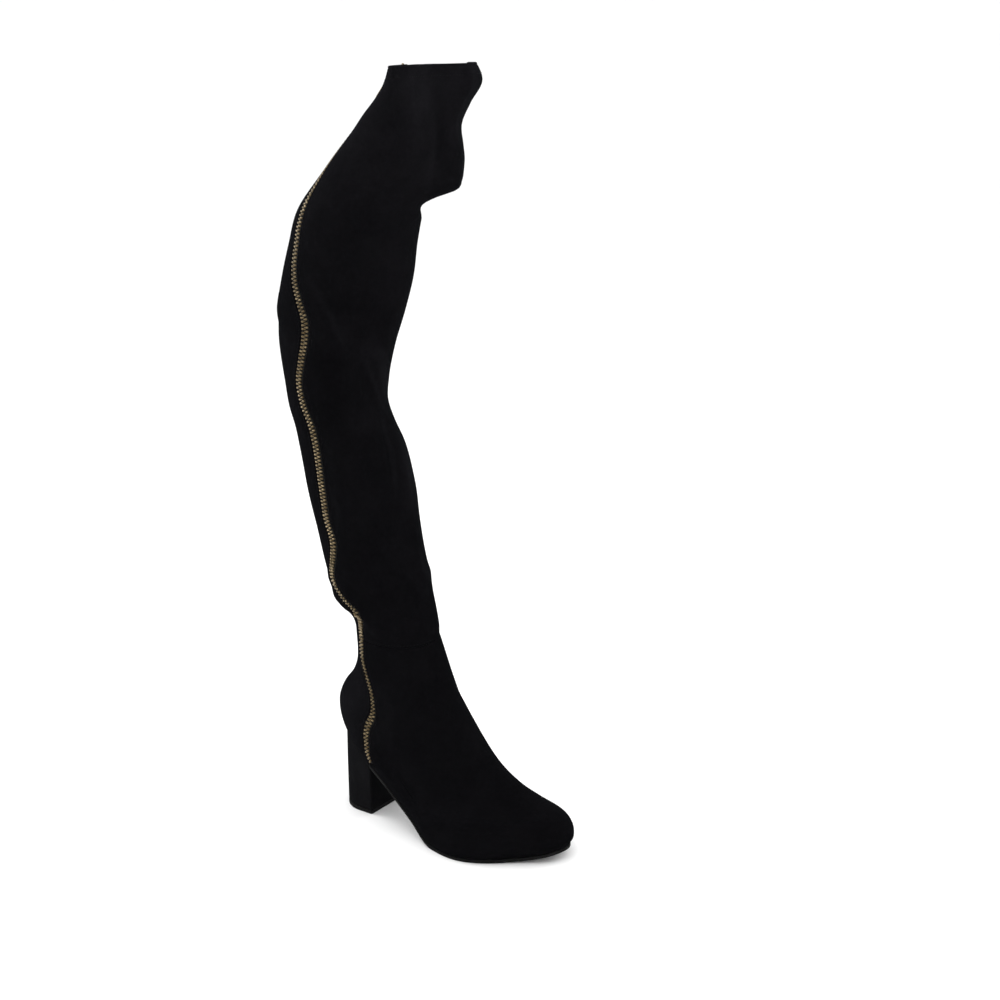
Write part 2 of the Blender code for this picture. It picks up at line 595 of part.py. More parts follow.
def zip_pull(name, line, level, lift, finish):
    """Slider on a zip and its pull tab, which hinges on the slider's pin and hangs over the
    teeth. Their own X points down the zip, Y along the pin and Z out of the boot. lift is the
    slider's clearance over the middle of its seat, more where the shaft is hollow there."""
    def on_zip(at):
        edges = lines_at(shaft, at)
        angle = (edges[line] + edges[line + 1]) / 2
        return Vector(shaft(angle, at)), Vector(outward(shaft, angle, at))

    surface_point, normal = on_zip(level)
    side = normal.cross(Vector((0, 0, -1))).normalized()
    down = side.cross(normal)
    base = surface_point + normal * (ZIP_PROUD + lift)
    frame = Matrix((down, side, normal)).transposed().to_4x4()

    slider = add_object(name + "_slider", box_mesh(
        name + "_slider", (-SLIDER_LENGTH / 2, -SLIDER_WIDTH / 2, 0),
        (SLIDER_LENGTH / 2, SLIDER_WIDTH / 2, SLIDER_THICKNESS)), finish)
    slider.matrix_local = Matrix.Translation(base * MM) @ frame
    axle = Vector((0, 0, SLIDER_THICKNESS + PIN_HEIGHT))
    ears = [(box_mesh(name + "_ear_" + label, (-EAR_LENGTH / 2, low, SLIDER_THICKNESS - 0.5),
                      (EAR_LENGTH / 2, low + EAR_THICKNESS, SLIDER_THICKNESS + EAR_HEIGHT)), "UNION")
            for label, low in (("a", EAR_INSIDE), ("b", -EAR_INSIDE - EAR_THICKNESS))]
    pin = pin_mesh(name + "_pin", PIN_RADIUS, 2 * EAR_INSIDE + EAR_THICKNESS, axle)
    combine(slider, ears + [(pin, "UNION")])

    pin_place = base + frame.to_3x3() @ axle
    below, below_normal = on_zip(level - TAB_LENGTH)
    resting = below + below_normal * (ZIP_PROUD + TAB_THICKNESS / 2 + TAB_CLEAR) - pin_place
    plumb = Vector((0, 0, -1))
    hang = resting - side * resting.dot(side)
    if hang.dot(normal) < plumb.dot(normal) * hang.length:
        hang = plumb - side * plumb.dot(side)
    hang.normalize()
    tab_frame = Matrix((hang, side, hang.cross(side))).transposed().to_4x4()
    tab = add_object(name + "_pull_tab", pin_mesh(
        name + "_pull_tab", TAB_RING, 2 * TAB_HALF, (0, 0, 0), 20), finish)
    tab.matrix_local = Matrix.Translation(pin_place * MM) @ tab_frame
    blade = box_mesh(name + "_blade", (0.5, -TAB_HALF + 0.01, -TAB_THICKNESS / 2),
                     (TAB_LENGTH, TAB_HALF - 0.01, TAB_THICKNESS / 2))
    hole = pin_mesh(name + "_hole", TAB_HOLE, 2 * TAB_HALF + 2, (0, 0, 0))
    combine(tab, [(blade, "UNION"), (hole, "DIFFERENCE")])
    return slider, tab


# ---- assembly --------------------------------------------------------------------------------

for old in list(bpy.data.objects):
    bpy.data.objects.remove(old, do_unlink=True)
boot = bpy.data.collections.new("over_the_knee_boot")
cutters = bpy.data.collections.new("cutters")
bpy.context.scene.collection.children.link(boot)
bpy.context.scene.collection.children.link(cutters)
centre = bpy.data.objects.new("boot_centre", None)
boot.objects.link(centre)

suede = material("black_suede", (0.008, 0.008, 0.009), 0.95)
stretch = material("black_stretch", (0.012, 0.012, 0.013), 0.9)
lining = material("black_lining", (0.014, 0.013, 0.013), 0.85)
sole_rubber = material("black_sole", (0.010, 0.010, 0.010), 0.7)
brass = material("antique_brass", (0.42, 0.34, 0.20), 0.38, 1.0)
coil = material("black_coil", (0.012, 0.012, 0.012), 0.6)
black_metal = material("black_metal", (0.02, 0.02, 0.02), 0.4, 1.0)

make_upper_foot()
make_upper_shaft()
make_back_panel()
make_outsole()
make_insole()
make_heel()
OUTER_LINE, INNER_LINE = 1, 4
make_chain("outer_zip_chain", OUTER_LINE, COLLAR, brass)
make_chain("inner_zip_chain", INNER_LINE, INNER_ZIP_TOP, coil)
zip_pull("outer_zip", OUTER_LINE, 654, 1.5, brass)
zip_pull("inner_zip", INNER_LINE, 392, 0.4, black_metal)

bpy.context.view_layer.update()
corners = np.array([piece.matrix_world @ vertex.co for piece in boot.objects if piece.type == "MESH"
                    for vertex in piece.data.vertices])
middle = (corners.min(axis=0) + corners.max(axis=0)) / 2
centre.location = (-middle[0], -middle[1], 0)
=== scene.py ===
"""Looks of the over-the-knee boot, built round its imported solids.

Each piece is a surface worked out on a grid in millimetres, in the boot's own frame: +X to the
toe, +Y to the inner side of the right foot, +Z up the shaft. An angle round the boot starts at
the back seam and runs over the outer side, the front and the inner side.
"""

import json
import math

import bmesh
import bpy
import numpy as np
from mathutils import Matrix, Vector


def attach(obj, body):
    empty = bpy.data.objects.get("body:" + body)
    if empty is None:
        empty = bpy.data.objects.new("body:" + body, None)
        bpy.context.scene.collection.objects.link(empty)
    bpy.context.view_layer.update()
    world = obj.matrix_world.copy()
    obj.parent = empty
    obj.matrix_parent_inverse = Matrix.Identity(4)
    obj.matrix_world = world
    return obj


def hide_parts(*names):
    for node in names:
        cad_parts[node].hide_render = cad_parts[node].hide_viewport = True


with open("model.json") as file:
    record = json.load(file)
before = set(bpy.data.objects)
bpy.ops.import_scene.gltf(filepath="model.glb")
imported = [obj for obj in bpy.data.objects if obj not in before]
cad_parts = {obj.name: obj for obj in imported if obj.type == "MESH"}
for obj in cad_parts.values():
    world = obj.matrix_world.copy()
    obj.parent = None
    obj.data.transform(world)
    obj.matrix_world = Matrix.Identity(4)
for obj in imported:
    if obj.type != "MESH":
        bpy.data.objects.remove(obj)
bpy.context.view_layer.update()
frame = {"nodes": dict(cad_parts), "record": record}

# ---- Foot upper ------------------------------------------------------------------------------
# The foot is cut from black faux suede, drawn over the last and cemented under it. It is slit
# on the outer and the inner side for the zips, with the cut edges turned in and topstitched.
# A thin black lining follows it inside.

MM = 0.001
GAP = 0.3                  # clearance between neighbouring pieces
SUEDE = 1.0                # thickness of the suede
LINING = 0.6               # thickness of the lining
LINING_DEPTH = 1.1         # lining's outer face below the suede's
WALL = 1.8                 # suede and lining together
FOOT_RADIUS = 45.0         # mean radii that turn an angle into millimetres round the boot
SHAFT_RADIUS = 48.0
SHARP_EDGE = math.radians(50)
BOOT_PLACE = np.array((-105.414, -1.200, 0.0))   # the last's frame from the boot's middle

FOOT_LENGTH, HEEL_POINT = 240.0, 3.0
SEAT_HEIGHT, TOE_SPRING = 78.0, 13.0
ANKLE = 173.0              # height of the seam between the foot and the shaft
SEAM_TILT = 5.0            # the seam rises to the inner side by this much
ARCH_TWIST = 6.0           # the waist is higher on the inner side by this much
# Feather line seen from the side: (distance from the heel, height)
FEATHER = ((3, 78), (27, 70.5), (50, 60.5), (75, 48.5), (101, 30), (124, 9.8),
           (146, 3.8), (170, 3.5), (200, 4.6), (224, 8), (240, 13))
STATIONS = np.array([0.12, 0.42, 0.70, 0.92])
# One ring of the foot a row, from the feather line up: back x, back z, front x, front z,
# half-width at the heel, waist, ball and toe stations, sideways bend at the waist, the ball,
# the toe station and the toe point, and how straight the ring has become
RINGS = np.array((
    (3.0, 78, 240.0, 13.0, 29.0, 29.5, 44.5, 21.5, -10.5, -3.4, 5.2, 6, 0.00),
    (0.0, 85, 243.5, 19.5, 31.0, 32.5, 47.5, 24.5, -9.5, -3.4, 6.2, 6, 0.02),
    (-1.5, 92, 241.5, 29.0, 32.0, 34.8, 46.5, 24.8, -8.4, -3.2, 7.2, 7, 0.06),
    (-2.0, 99.5, 233.0, 37.3, 32.0, 35.0, 44.0, 23.0, -6.3, -2.4, 7.2, 8, 0.12),
    (-1.0, 109, 215.5, 41.3, 31.0, 35.0, 41.0, 22.8, -4.2, -0.6, 6.6, 8, 0.22),
    (4.5, 120, 191.5, 48.3, 29.0, 33.8, 37.5, 22.4, -3, 0.5, 5.5, 7, 0.34),
    (14.5, 132, 166.2, 62.5, 26.0, 32.0, 33.5, 22.0, -2, 0.3, 4.2, 6, 0.48),
    (20.0, 145, 145.0, 87.5, 22.0, 30.0, 29.5, 20.0, -1, -0.2, 2.6, 3.5, 0.64),
    (20.8, 158, 124.0, 124.0, 18.5, 26.5, 26.0, 17.0, 0, -0.5, 1, 1, 0.82),
    (19.6, 171, 106.5, 175.0, 16.0, 24.5, 23.5, 14.5, 0, 0, 0, 0, 1.00)))
TOP_RING = len(RINGS) - 1
# Middle of each zip's slit round the foot: (ring, outer zip, inner zip), in degrees
FOOT_LINES = ((0, 60, 300), (1.5, 58.5, 300), (3.5, 60, 299), (5, 62.5, 298), (6.4, 65.5, 297),
              (7, 63, 296), (7.5, 56.5, 295), (8.1, 50, 294), (9, 53, 292))
ZIP_WIDTH = 8.0            # tape and teeth between the slit's edges
ZIP_FOOT_END = 0.75        # ring where both zips end above the sole
FOOT_PANEL_HALF = 12.0     # back columns of the foot, either side of the back seam


def smooth(knots, values, at, pick):
    """Cubic Hermite through values, whose last axis runs over the knots, each slope from its
    two neighbours. pick takes the values at each point's knot."""
    knots = np.asarray(knots, float)
    at = np.clip(np.asarray(at, float), knots[0], knots[-1])
    gaps = np.diff(knots)
    rises = np.diff(values, axis=-1) / gaps
    slopes = np.concatenate((
        rises[..., :1],
        (rises[..., :-1] * gaps[1:] + rises[..., 1:] * gaps[:-1]) / (gaps[:-1] + gaps[1:]),
        rises[..., -1:]), axis=-1)
    left = np.clip(np.searchsorted(knots, at, side="right") - 1, 0, len(knots) - 2)
    step = gaps[left]
    share = (at - knots[left]) / step
    return (pick(values, left) * (1 + 2 * share) * (1 - share) ** 2
            + pick(slopes, left) * step * share * (1 - share) ** 2
            + pick(values, left + 1) * share ** 2 * (3 - 2 * share)
            - pick(slopes, left + 1) * step * share ** 2 * (1 - share))


def through(knots, rows, at):
    """Smooth curve through the rows, one row for each knot."""
    rows = np.asarray(rows, float)
    found = smooth(knots, rows.T, at, lambda values, left: values[..., left])
    return np.moveaxis(found, 0, -1) if rows.ndim == 2 else found


def curve(table, at, column=1):
    """Smooth curve through one column of a table, over the table's first column."""
    table = np.array(table, float)
    return through(table[:, 0], table[:, column], at)


def across(knots, columns, at):
    """The same smooth curve, where each point has its own row of values in columns."""
    return smooth(knots, columns, at, lambda values, left: np.take_along_axis(
        values, left[..., None], axis=-1)[..., 0])


def ease(start, end, value):
    """0 before start, 1 after end, and a smooth S between them."""
    share = np.clip((value - start) / (end - start), 0, 1)
    return share * share * (3 - 2 * share)


def waist_twist(x, y):
    """Extra height of the sole at the waist: up on the inner side, down on the outer side."""
    near_waist = np.cos(np.clip((x - 100) / 60, -1, 1) * np.pi / 2) ** 2
    return ARCH_TWIST * np.clip(y / 30, -1.2, 1.2) * near_waist


def seat(x, y):
    """Height of the last's bottom: the feather line over the length, twisted at the waist."""
    return curve(FEATHER, x) + waist_twist(x, y)


def foot(angle, level):
    """Point of the foot: the ring's length over (1 - cos angle) / 2, its half-width times the
    sine to either side of its bent middle line, and the feather line's height fading out."""
    angle, level = np.broadcast_arrays(np.asarray(angle, float), np.asarray(level, float))
    ring = through(np.arange(len(RINGS)), RINGS, level)
    along = (1 - np.cos(angle)) / 2
    fullness = ring[..., 4:8] / np.sqrt(4 * STATIONS * (1 - STATIONS))
    knots = np.concatenate(([0], STATIONS, [1]))
    widths = np.concatenate((fullness[..., :1], fullness, fullness[..., -1:]), axis=-1)
    none = np.zeros_like(ring[..., :1])
    bends = np.concatenate((none, none, ring[..., 8:12]), axis=-1)
    back_x, back_z, front_x, front_z = (ring[..., i] for i in range(4))
    straight = ring[..., 12]
    x = back_x + (front_x - back_x) * along
    y = across(knots, bends, along) - np.sin(angle) * across(knots, widths, along)
    feather = curve(FEATHER, HEEL_POINT + along * (FOOT_LENGTH - HEEL_POINT))
    follow = (SEAT_HEIGHT - feather) / (SEAT_HEIGHT - TOE_SPRING)
    z = back_z + (front_z - back_z) * ((1 - straight) * follow + straight * along)
    z = z + waist_twist(x, y) * (1 - straight) ** 2
    z = z + SEAM_TILT * straight ** 3 * np.clip(y / 27, -1, 1)
    return np.stack((x, y, z), axis=-1)


def unit(vectors):
    """Vectors over their own lengths."""
    return vectors / np.linalg.norm(vectors, axis=-1, keepdims=True)


def outward(surface, angle, level):
    """Unit normal of a surface: the cross product of its slopes around and up."""
    step_angle, step_level = 0.004, 0.02
    around = surface(angle + step_angle, level) - surface(angle - step_angle, level)
    up = surface(angle, level + step_level) - surface(angle, level - step_level)
    return unit(np.cross(around, up))


def speed(surface, angle, level):
    """Millimetres along the surface for one radian around it."""
    step = 0.01
    move = surface(angle + step, level) - surface(angle - step, level)
    return np.linalg.norm(move, axis=-1) / (2 * step)


def raised(surface, angle, level, rise):
    """Points of a surface moved along its normals by rise."""
    return surface(angle, level) + rise[..., None] * outward(surface, angle, level)


def bell(distance, width):
    """Soft hill: 1 on the line and exp(-1) one width away."""
    return np.exp(-(distance / width) ** 2)


def ridges(folds, angle, height, radius):
    """Relief of a table of folds. Each is a bent line from its start over its middle to its
    end on the unrolled surface, with a bell across it that runs out at both ends."""
    relief = np.zeros(np.broadcast(angle, height).shape)
    share = np.linspace(0, 1, 25)
    for start, start_z, middle, middle_z, end, end_z, width, rise in folds:
        bent = [(1 - share) ** 2 * a + 2 * share * (1 - share) * (2 * b - (a + c) / 2)
                + share ** 2 * c for a, b, c in ((start, middle, end), (start_z, middle_z, end_z))]
        around = (angle[..., None] - np.radians(bent[0]) + np.pi) % (2 * np.pi) - np.pi
        away = np.hypot(around * radius, height[..., None] - bent[1])
        nearest = away.argmin(axis=-1)
        run_out = np.sin(np.pi * np.clip(share[nearest], 0.02, 0.98)) ** 0.6
        relief = relief + rise * run_out * bell(away.min(axis=-1), width)
    return relief


# Creases of the foot: start, middle and end (degrees, height), half-width and rise, all as
# ridges() takes them
FOOT_FOLDS = (
    (116, 118, 148, 124, 172, 140, 5.0, -0.7),
    (120, 106, 150, 110, 176, 124, 6.0, 0.6),
    (188, 140, 212, 124, 240, 112, 5.0, -0.6),
    (120, 52, 135, 56, 150, 50, 7.0, -0.5),
    (28, 118, 20, 98, 26, 84, 8.0, 0.4))


def foot_relief(angle, level):
    """Creases at the instep, and the last's faint unevenness under the suede."""
    point = foot(angle, level)
    uneven = 0.16 * np.sin(3 * angle + point[..., 0] / 19) * np.sin(point[..., 2] / 17 + 2 * angle)
    held = ease(0.0, 1.6, level)
    return held * (ridges(FOOT_FOLDS, angle, point[..., 2], FOOT_RADIUS) + uneven)


# Painted light on the foot's suede, as a share by which it is lighter, along lines like the
# creases': the counter behind the outer zip and a patch in front of it
FOOT_PAINTED_LIGHT = (
    (24, 160, 40, 112, 34, 76, 16.0, 0.75),
    (86, 130, 80, 102, 76, 76, 8.0, 0.28))

EDGE_STEPS = (0.0, 0.12, 0.4, 0.9, 1.5, 2.1, 2.8, 3.8)   # columns beside a cut edge
TURN_RADIUS = 0.8          # the turned edge's rounding
STITCH_INSET = 2.1         # topstitch beside a turned edge
PUFF, GROOVE = 0.22, 0.26  # height over the turned layer, and depth under the topstitch
SEAM_SHARE = 0.12          # how far the flat seam at the ankle turns in, beside a slit's edge


def turned_edge(away):
    """Relief beside a turned-in edge: a quarter round down at the edge, a puff over the turned
    layer and a groove under the topstitch."""
    inside = np.clip(away, 0, TURN_RADIUS) / TURN_RADIUS
    roll = TURN_RADIUS * (np.sqrt(1 - (1 - inside) ** 2) - 1)
    puff = PUFF * bell(away - 1.1, 0.8) - GROOVE * bell(away - STITCH_INSET, 0.45)
    return roll + puff * ease(0, 0.6, away)


def columns_between(count, first_cut, last_cut):
    """Columns of one stretch between two lines, as share and steps in from either line."""
    first = EDGE_STEPS if first_cut else (0.0,)
    last = EDGE_STEPS if last_cut else (0.0,)
    middle = np.linspace(0, 1, count - len(first) - len(last) + 3)[1:-1]
    share = np.concatenate((np.zeros(len(first)), middle, np.ones(len(last))))
    from_first = np.concatenate((first, np.full(len(middle) + len(last), first[-1])))
    from_last = np.concatenate((np.full(len(first) + len(middle), last[-1]), last[::-1]))
    return share[:-1], from_first[:-1], from_last[:-1]


def ring_lines(surface, table, level, back_half, inner_half):
    """Lines round one ring with the surface's speed at each: back columns, outer zip, front,
    inner zip, back columns and a turn on. The front has no cut edge: pi holds its place."""
    level = np.asarray(level, float)
    outer, inner = (np.radians(curve(table, level, column)) for column in (1, 2))
    outer_speed, inner_speed, back_speed = (speed(surface, at, level)
                                            for at in (outer, inner, 0.0))
    outer_turn = (ZIP_WIDTH / 2 + GAP) / outer_speed
    inner_turn = (inner_half + GAP) / inner_speed
    back = back_half / back_speed
    front = np.full_like(back, math.pi)
    return (np.stack((back, outer - outer_turn, outer + outer_turn, front, inner - inner_turn,
                      inner + inner_turn, 2 * np.pi - back, 2 * np.pi + back)),
            np.stack((back_speed, outer_speed, outer_speed, front, inner_speed, inner_speed,
                      back_speed, back_speed)))


def foot_edges(level):
    """Lines round one ring of the foot."""
    return ring_lines(foot, FOOT_LINES, level, FOOT_PANEL_HALF, ZIP_WIDTH / 2)


def spread(edges, levels, cells):
    """Angle of each grid point (level, column): cells rows are (columns, first cut, last cut)
    for each stretch between the lines."""
    lines, speeds = edges(levels)
    angles = []
    for i, (count, first_cut, last_cut) in enumerate(cells):
        share, from_first, from_last = columns_between(count, first_cut, last_cut)
        start = lines[i][:, None] + from_first / speeds[i][:, None]
        end = lines[i + 1][:, None] - from_last / speeds[i + 1][:, None]
        angles.append(start * (1 - share) + end * share)
    return np.concatenate(angles, axis=1)


def make_mesh(name, points, faces, finish):
    """Smooth mesh from boot-frame millimetres, with its place in the record's frame."""
    mesh = bpy.data.meshes.new(name)
    mesh.vertices.add(len(points))
    mesh.vertices.foreach_set("co", ((points + BOOT_PLACE) * MM).astype("f").ravel())
    sizes = np.concatenate([np.full(len(f), f.shape[1]) for f in faces])
    corners = np.concatenate([f.ravel() for f in faces])
    mesh.loops.add(len(corners))
    mesh.loops.foreach_set("vertex_index", corners.astype("i"))
    mesh.polygons.add(len(sizes))
    starts = np.concatenate(([0], np.cumsum(sizes)[:-1]))
    mesh.polygons.foreach_set("loop_start", starts.astype("i"))
    mesh.update(calc_edges=True)
    mesh.validate()
    mesh.shade_smooth()
    mesh.set_sharp_from_angle(angle=SHARP_EDGE)
    mesh.materials.append(finish)
    piece = bpy.data.objects.new(name, mesh)
    bpy.context.scene.collection.objects.link(piece)
    return piece


WEAVE_TURN = math.tau * SHAFT_RADIUS   # width of the weave's map over a full turn


def wall(name, outer, inner, keep, around, finish, weave=None, painted_shading=None):
    """Closed wall between two grids: the kept cells of both, the inner ones turned over, and a rim
    wherever a kept cell has no kept neighbour. weave gives the map, in millimetres across and up at
    each grid point, and a face that closes the turn takes it a turn further on. The last argument
    gives the share by which the suede's colour is painted lighter at each grid point, as painted
    light and sheen, or darker, as painted shade."""
    rows, columns = outer.shape[:2]
    number = np.arange(rows * columns).reshape(rows, columns)
    if around:
        number = np.hstack((number, number[:, :1]))
    a, b, c, d = number[:-1, :-1], number[:-1, 1:], number[1:, 1:], number[1:, :-1]
    inside = rows * columns
    quads = np.stack((a, b, c, d), axis=-1)[keep]
    faces = [quads, quads[:, ::-1] + inside]
    framed = np.pad(np.pad(keep, ((1, 1), (0, 0))), ((0, 0), (1, 1)),
                    mode="wrap" if around else "constant")
    for neighbour, start, end in ((framed[:-2, 1:-1], a, b), (framed[1:-1, 2:], b, c),
                                  (framed[2:, 1:-1], c, d), (framed[1:-1, :-2], d, a)):
        rim = keep & ~neighbour
        start, end = start[rim], end[rim]
        faces.append(np.stack((end, start, start + inside, end + inside), axis=-1))
    used, packed = np.unique(np.concatenate(faces), return_inverse=True)
    packed = packed.reshape(-1, 4)
    points = np.concatenate((outer.reshape(-1, 3), inner.reshape(-1, 3)))[used]
    piece = make_mesh(name, points, [packed], finish)
    if weave is not None:
        place = np.stack([np.tile(part.ravel(), 2)[used] for part in weave], axis=-1)[packed]
        widest = place[..., 0].max(axis=1, keepdims=True)
        place[..., 0] += WEAVE_TURN * (place[..., 0] < widest - WEAVE_TURN / 2)
        layer = piece.data.uv_layers.new(name="weave")
        layer.data.foreach_set("uv", place.astype("f").ravel())
    # Painted light and shade: a share at each point by which the suede's colour is made lighter or
    # darker
    if painted_shading is not None:
        shading_paint = piece.data.attributes.new("painted_shading", "FLOAT", "POINT")
        shading_paint.data.foreach_set("value", np.tile(painted_shading.ravel(), 2)[used].astype("f"))
    return piece


def feed(node, sockets):
    """Sets a node's inputs: another node's outputs are linked, and plain values copied."""
    for key, value in dict(sockets).items():
        if isinstance(value, bpy.types.NodeSocket):
            node.id_data.links.new(value, node.inputs[key])
        else:
            node.inputs[key].default_value = value


def paint(name):
    """New material with its shader, a function that adds a node to it, and the place of the
    point shaded."""
    made = bpy.data.materials.new(name)
    made.use_nodes = True
    nodes = made.node_tree.nodes

    def add(kind, sockets=(), **settings):
        """Node of a kind, with its inputs and its settings."""
        node = nodes.new(kind)
        for key, value in settings.items():
            setattr(node, key, value)
        feed(node, sockets)
        return node

    where = add("ShaderNodeTexCoord").outputs["Object"]
    return made, nodes["Principled BSDF"], add, where


def noise(add, where, size, detail=2.0, **sockets):
    """Noise whose lumps are about size millimetres across."""
    return add("ShaderNodeTexNoise", {"Vector": where, "Scale": 1 / (size * MM),
                                      "Detail": detail, **sockets}).outputs["Fac"]


def blend_of(add, factor, dark, light, low=0.35, high=0.65):
    """Colour between dark and light, by a factor stretched from low to high."""
    ramp = add("ShaderNodeValToRGB", {"Fac": factor})
    ramp.color_ramp.elements[0].position, ramp.color_ramp.elements[1].position = low, high
    ramp.color_ramp.elements[0].color = (*dark, 1)
    ramp.color_ramp.elements[1].color = (*light, 1)
    return ramp.outputs["Color"]


def emboss(add, height, strength, depth, **sockets):
    """Fine relief of a finish from a height, depth in millimetres."""
    return add("ShaderNodeBump", {"Height": height, "Strength": strength,
                                  "Distance": depth * MM, **sockets}).outputs[0]


def stretched(add, value, low, high, start=0.0, end=1.0):
    """Value taken from the range start to end to the range low to high."""
    return add("ShaderNodeMapRange", {"Value": value, "From Min": start, "From Max": end,
                                      "To Min": low, "To Max": high}).outputs[0]


def math_of(add, operation, first, second):
    """Sum or product of two values."""
    return add("ShaderNodeMath", {0: first, 1: second}, operation=operation).outputs[0]


def suede_finish(name, dark, light, sheen):
    """Brushed nap: patches where it lies one way or the other, tufts of 2 to 3 mm, and short fibres
    that roughen it. Where the piece carries a share of painted light and shade, its colour is
    painted lighter or darker by it. The fibres' tips give the pale sheen at grazing angles."""
    made, shader, add, where = paint(name)
    patches = noise(add, where, 32, 3.0, Distortion=0.4)
    tufts = noise(add, where, 2.6, 3.0, Distortion=0.8)
    half = math_of(add, "MULTIPLY", math_of(add, "ADD", patches, tufts), 0.5)
    # Painted light and shade: the share stored on the piece scales the suede's colour
    shading_paint = add("ShaderNodeAttribute", attribute_name="painted_shading").outputs["Fac"]
    colour = add("ShaderNodeVectorMath", {0: blend_of(add, half, dark, light),
                                          "Scale": math_of(add, "ADD", shading_paint, 1.0)},
                 operation="SCALE").outputs[0]
    lumps = emboss(add, tufts, 0.6, 0.12)
    feed(shader, {"Base Color": colour, "Roughness": stretched(add, tufts, 0.86, 1.0),
                  "Normal": emboss(add, noise(add, where, 0.45, 2.0), 0.7, 0.06, Normal=lumps),
                  "Specular IOR Level": 0.0, "Sheen Weight": sheen, "Sheen Roughness": 0.42,
                  "Sheen Tint": (0.86, 0.88, 1.0, 1.0)})
    return made


suede = suede_finish("black_suede", (0.0024, 0.0024, 0.0028), (0.0037, 0.0036, 0.0042), 0.006)

FOOT_CELLS = ((34, False, True), (1, False, False), (52, True, False), (52, False, True),
              (1, False, False), (34, True, False), (14, False, False))
FOOT_ROWS = 74
TOP_RING_HEIGHT = 14.0     # millimetres from the last ring but one to the last
OUTER_SLIT = FOOT_CELLS[0][0]
INNER_SLIT = sum(count for count, *_ in FOOT_CELLS[:4])


def beside_slits(edges, angles, levels):
    """Distance of each grid point from the outer and the inner zip's slit, along the ring."""
    lines, speeds = edges(levels)
    return [np.maximum((lines[first][:, None] - angles) * speeds[first][:, None],
                       (angles - lines[first + 1][:, None]) * speeds[first][:, None])
            for first in (1, 4)]


def foot_grid(levels, depth, edge_relief):
    """Points of the foot at one depth below its surface, with creases and turned edges."""
    angles = spread(foot_edges, levels, FOOT_CELLS)
    heights = np.broadcast_to(levels[:, None], angles.shape)
    rise = foot_relief(angles, heights) - depth
    if edge_relief:
        for away in beside_slits(foot_edges, angles, levels):
            rise = rise + turned_edge(away) * ease(ZIP_FOOT_END - 0.4, ZIP_FOOT_END, heights)
        rise = rise + SEAM_SHARE * turned_edge((TOP_RING - heights) * TOP_RING_HEIGHT)
    return raised(foot, angles, heights, rise)


foot_levels = np.unique(np.concatenate((
    np.linspace(0, ZIP_FOOT_END, 12), np.linspace(ZIP_FOOT_END, TOP_RING - 0.25, FOOT_ROWS),
    TOP_RING - np.array((0.0, 0.01, 0.03, 0.07, 0.12, 0.16)))))


def foot_kept(levels):
    """Kept cells of the foot: all but the two slits above their lower ends."""
    keep = np.ones((len(levels) - 1, sum(count for count, *_ in FOOT_CELLS)), bool)
    for slit in (OUTER_SLIT, INNER_SLIT):
        keep[levels[:-1] >= ZIP_FOOT_END, slit] = False
    return keep


foot_angles = spread(foot_edges, foot_levels, FOOT_CELLS)
foot_heights = foot(foot_angles, foot_levels[:, None])[..., 2]
# The foot's suede carries painted light on its counter and in front of the outer zip
foot_suede = wall("foot_suede", foot_grid(foot_levels, 0.0, True),
                  foot_grid(foot_levels, SUEDE, False), foot_kept(foot_levels), True, suede,
                  painted_shading=ridges(FOOT_PAINTED_LIGHT, foot_angles, foot_heights, FOOT_RADIUS))
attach(foot_suede, "root")
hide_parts("upper_foot")


def waves(add, where, length, direction, **sockets):
    """Bands of waves, each length of the map wide."""
    return add("ShaderNodeTexWave", {"Vector": where, "Scale": 1 / (length * math.tau),
                                     **sockets}, bands_direction=direction).outputs["Fac"]


def knit_finish(name, dark, light, wale, roughness, sheen):
    """Fine knit: wales and courses as two bands of waves along the piece's own UV map."""
    made, shader, add, where = paint(name)
    cloth = add("ShaderNodeUVMap", uv_map="weave").outputs["UV"]
    weave = math_of(add, "MULTIPLY", waves(add, cloth, wale, "X", Distortion=0.6, Detail=1.0),
                    waves(add, cloth, wale / 0.8, "Y", Distortion=0.6, Detail=1.0))
    both = math_of(add, "MULTIPLY", weave, noise(add, where, 24, 3.0))
    feed(shader, {"Base Color": blend_of(add, both, dark, light, 0.0, 0.55),
                  "Roughness": roughness, "Normal": emboss(add, weave, 0.6, 0.12),
                  "Specular IOR Level": 0.05, "Sheen Weight": sheen, "Sheen Roughness": 0.5})
    return made


lining = knit_finish("black_lining", (0.0035, 0.0035, 0.004), (0.011, 0.0105, 0.0115),
                     0.5, 0.85, 0.02)

LINING_STRIDE = 2          # the lining's grid takes every second row


def lining_wall(name, grid, edges, cells, levels, keep):
    """Lining behind the suede of one grid, its knit's map laid on the unrolled surface."""
    outer = grid(levels, LINING_DEPTH, False)
    return wall(name, outer, grid(levels, LINING_DEPTH + LINING, False), keep, True, lining,
                (spread(edges, levels, cells) * SHAFT_RADIUS, outer[..., 2]))


lining_levels = foot_levels[::LINING_STRIDE]
foot_lining = lining_wall("foot_lining", foot_grid, foot_edges, FOOT_CELLS, lining_levels,
                          foot_kept(lining_levels))
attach(foot_lining, "root")

# ---- Shaft -----------------------------------------------------------------------------------
# The shaft is one slack tube of the same suede, seamed to the foot at the ankle. It is slit for
# both zips, its back is scooped out at the thigh, and it keeps the creases of soft cloth that
# stands unworn. Its lining shows at the collar.

COLLAR = 664.0             # height of the collar's front
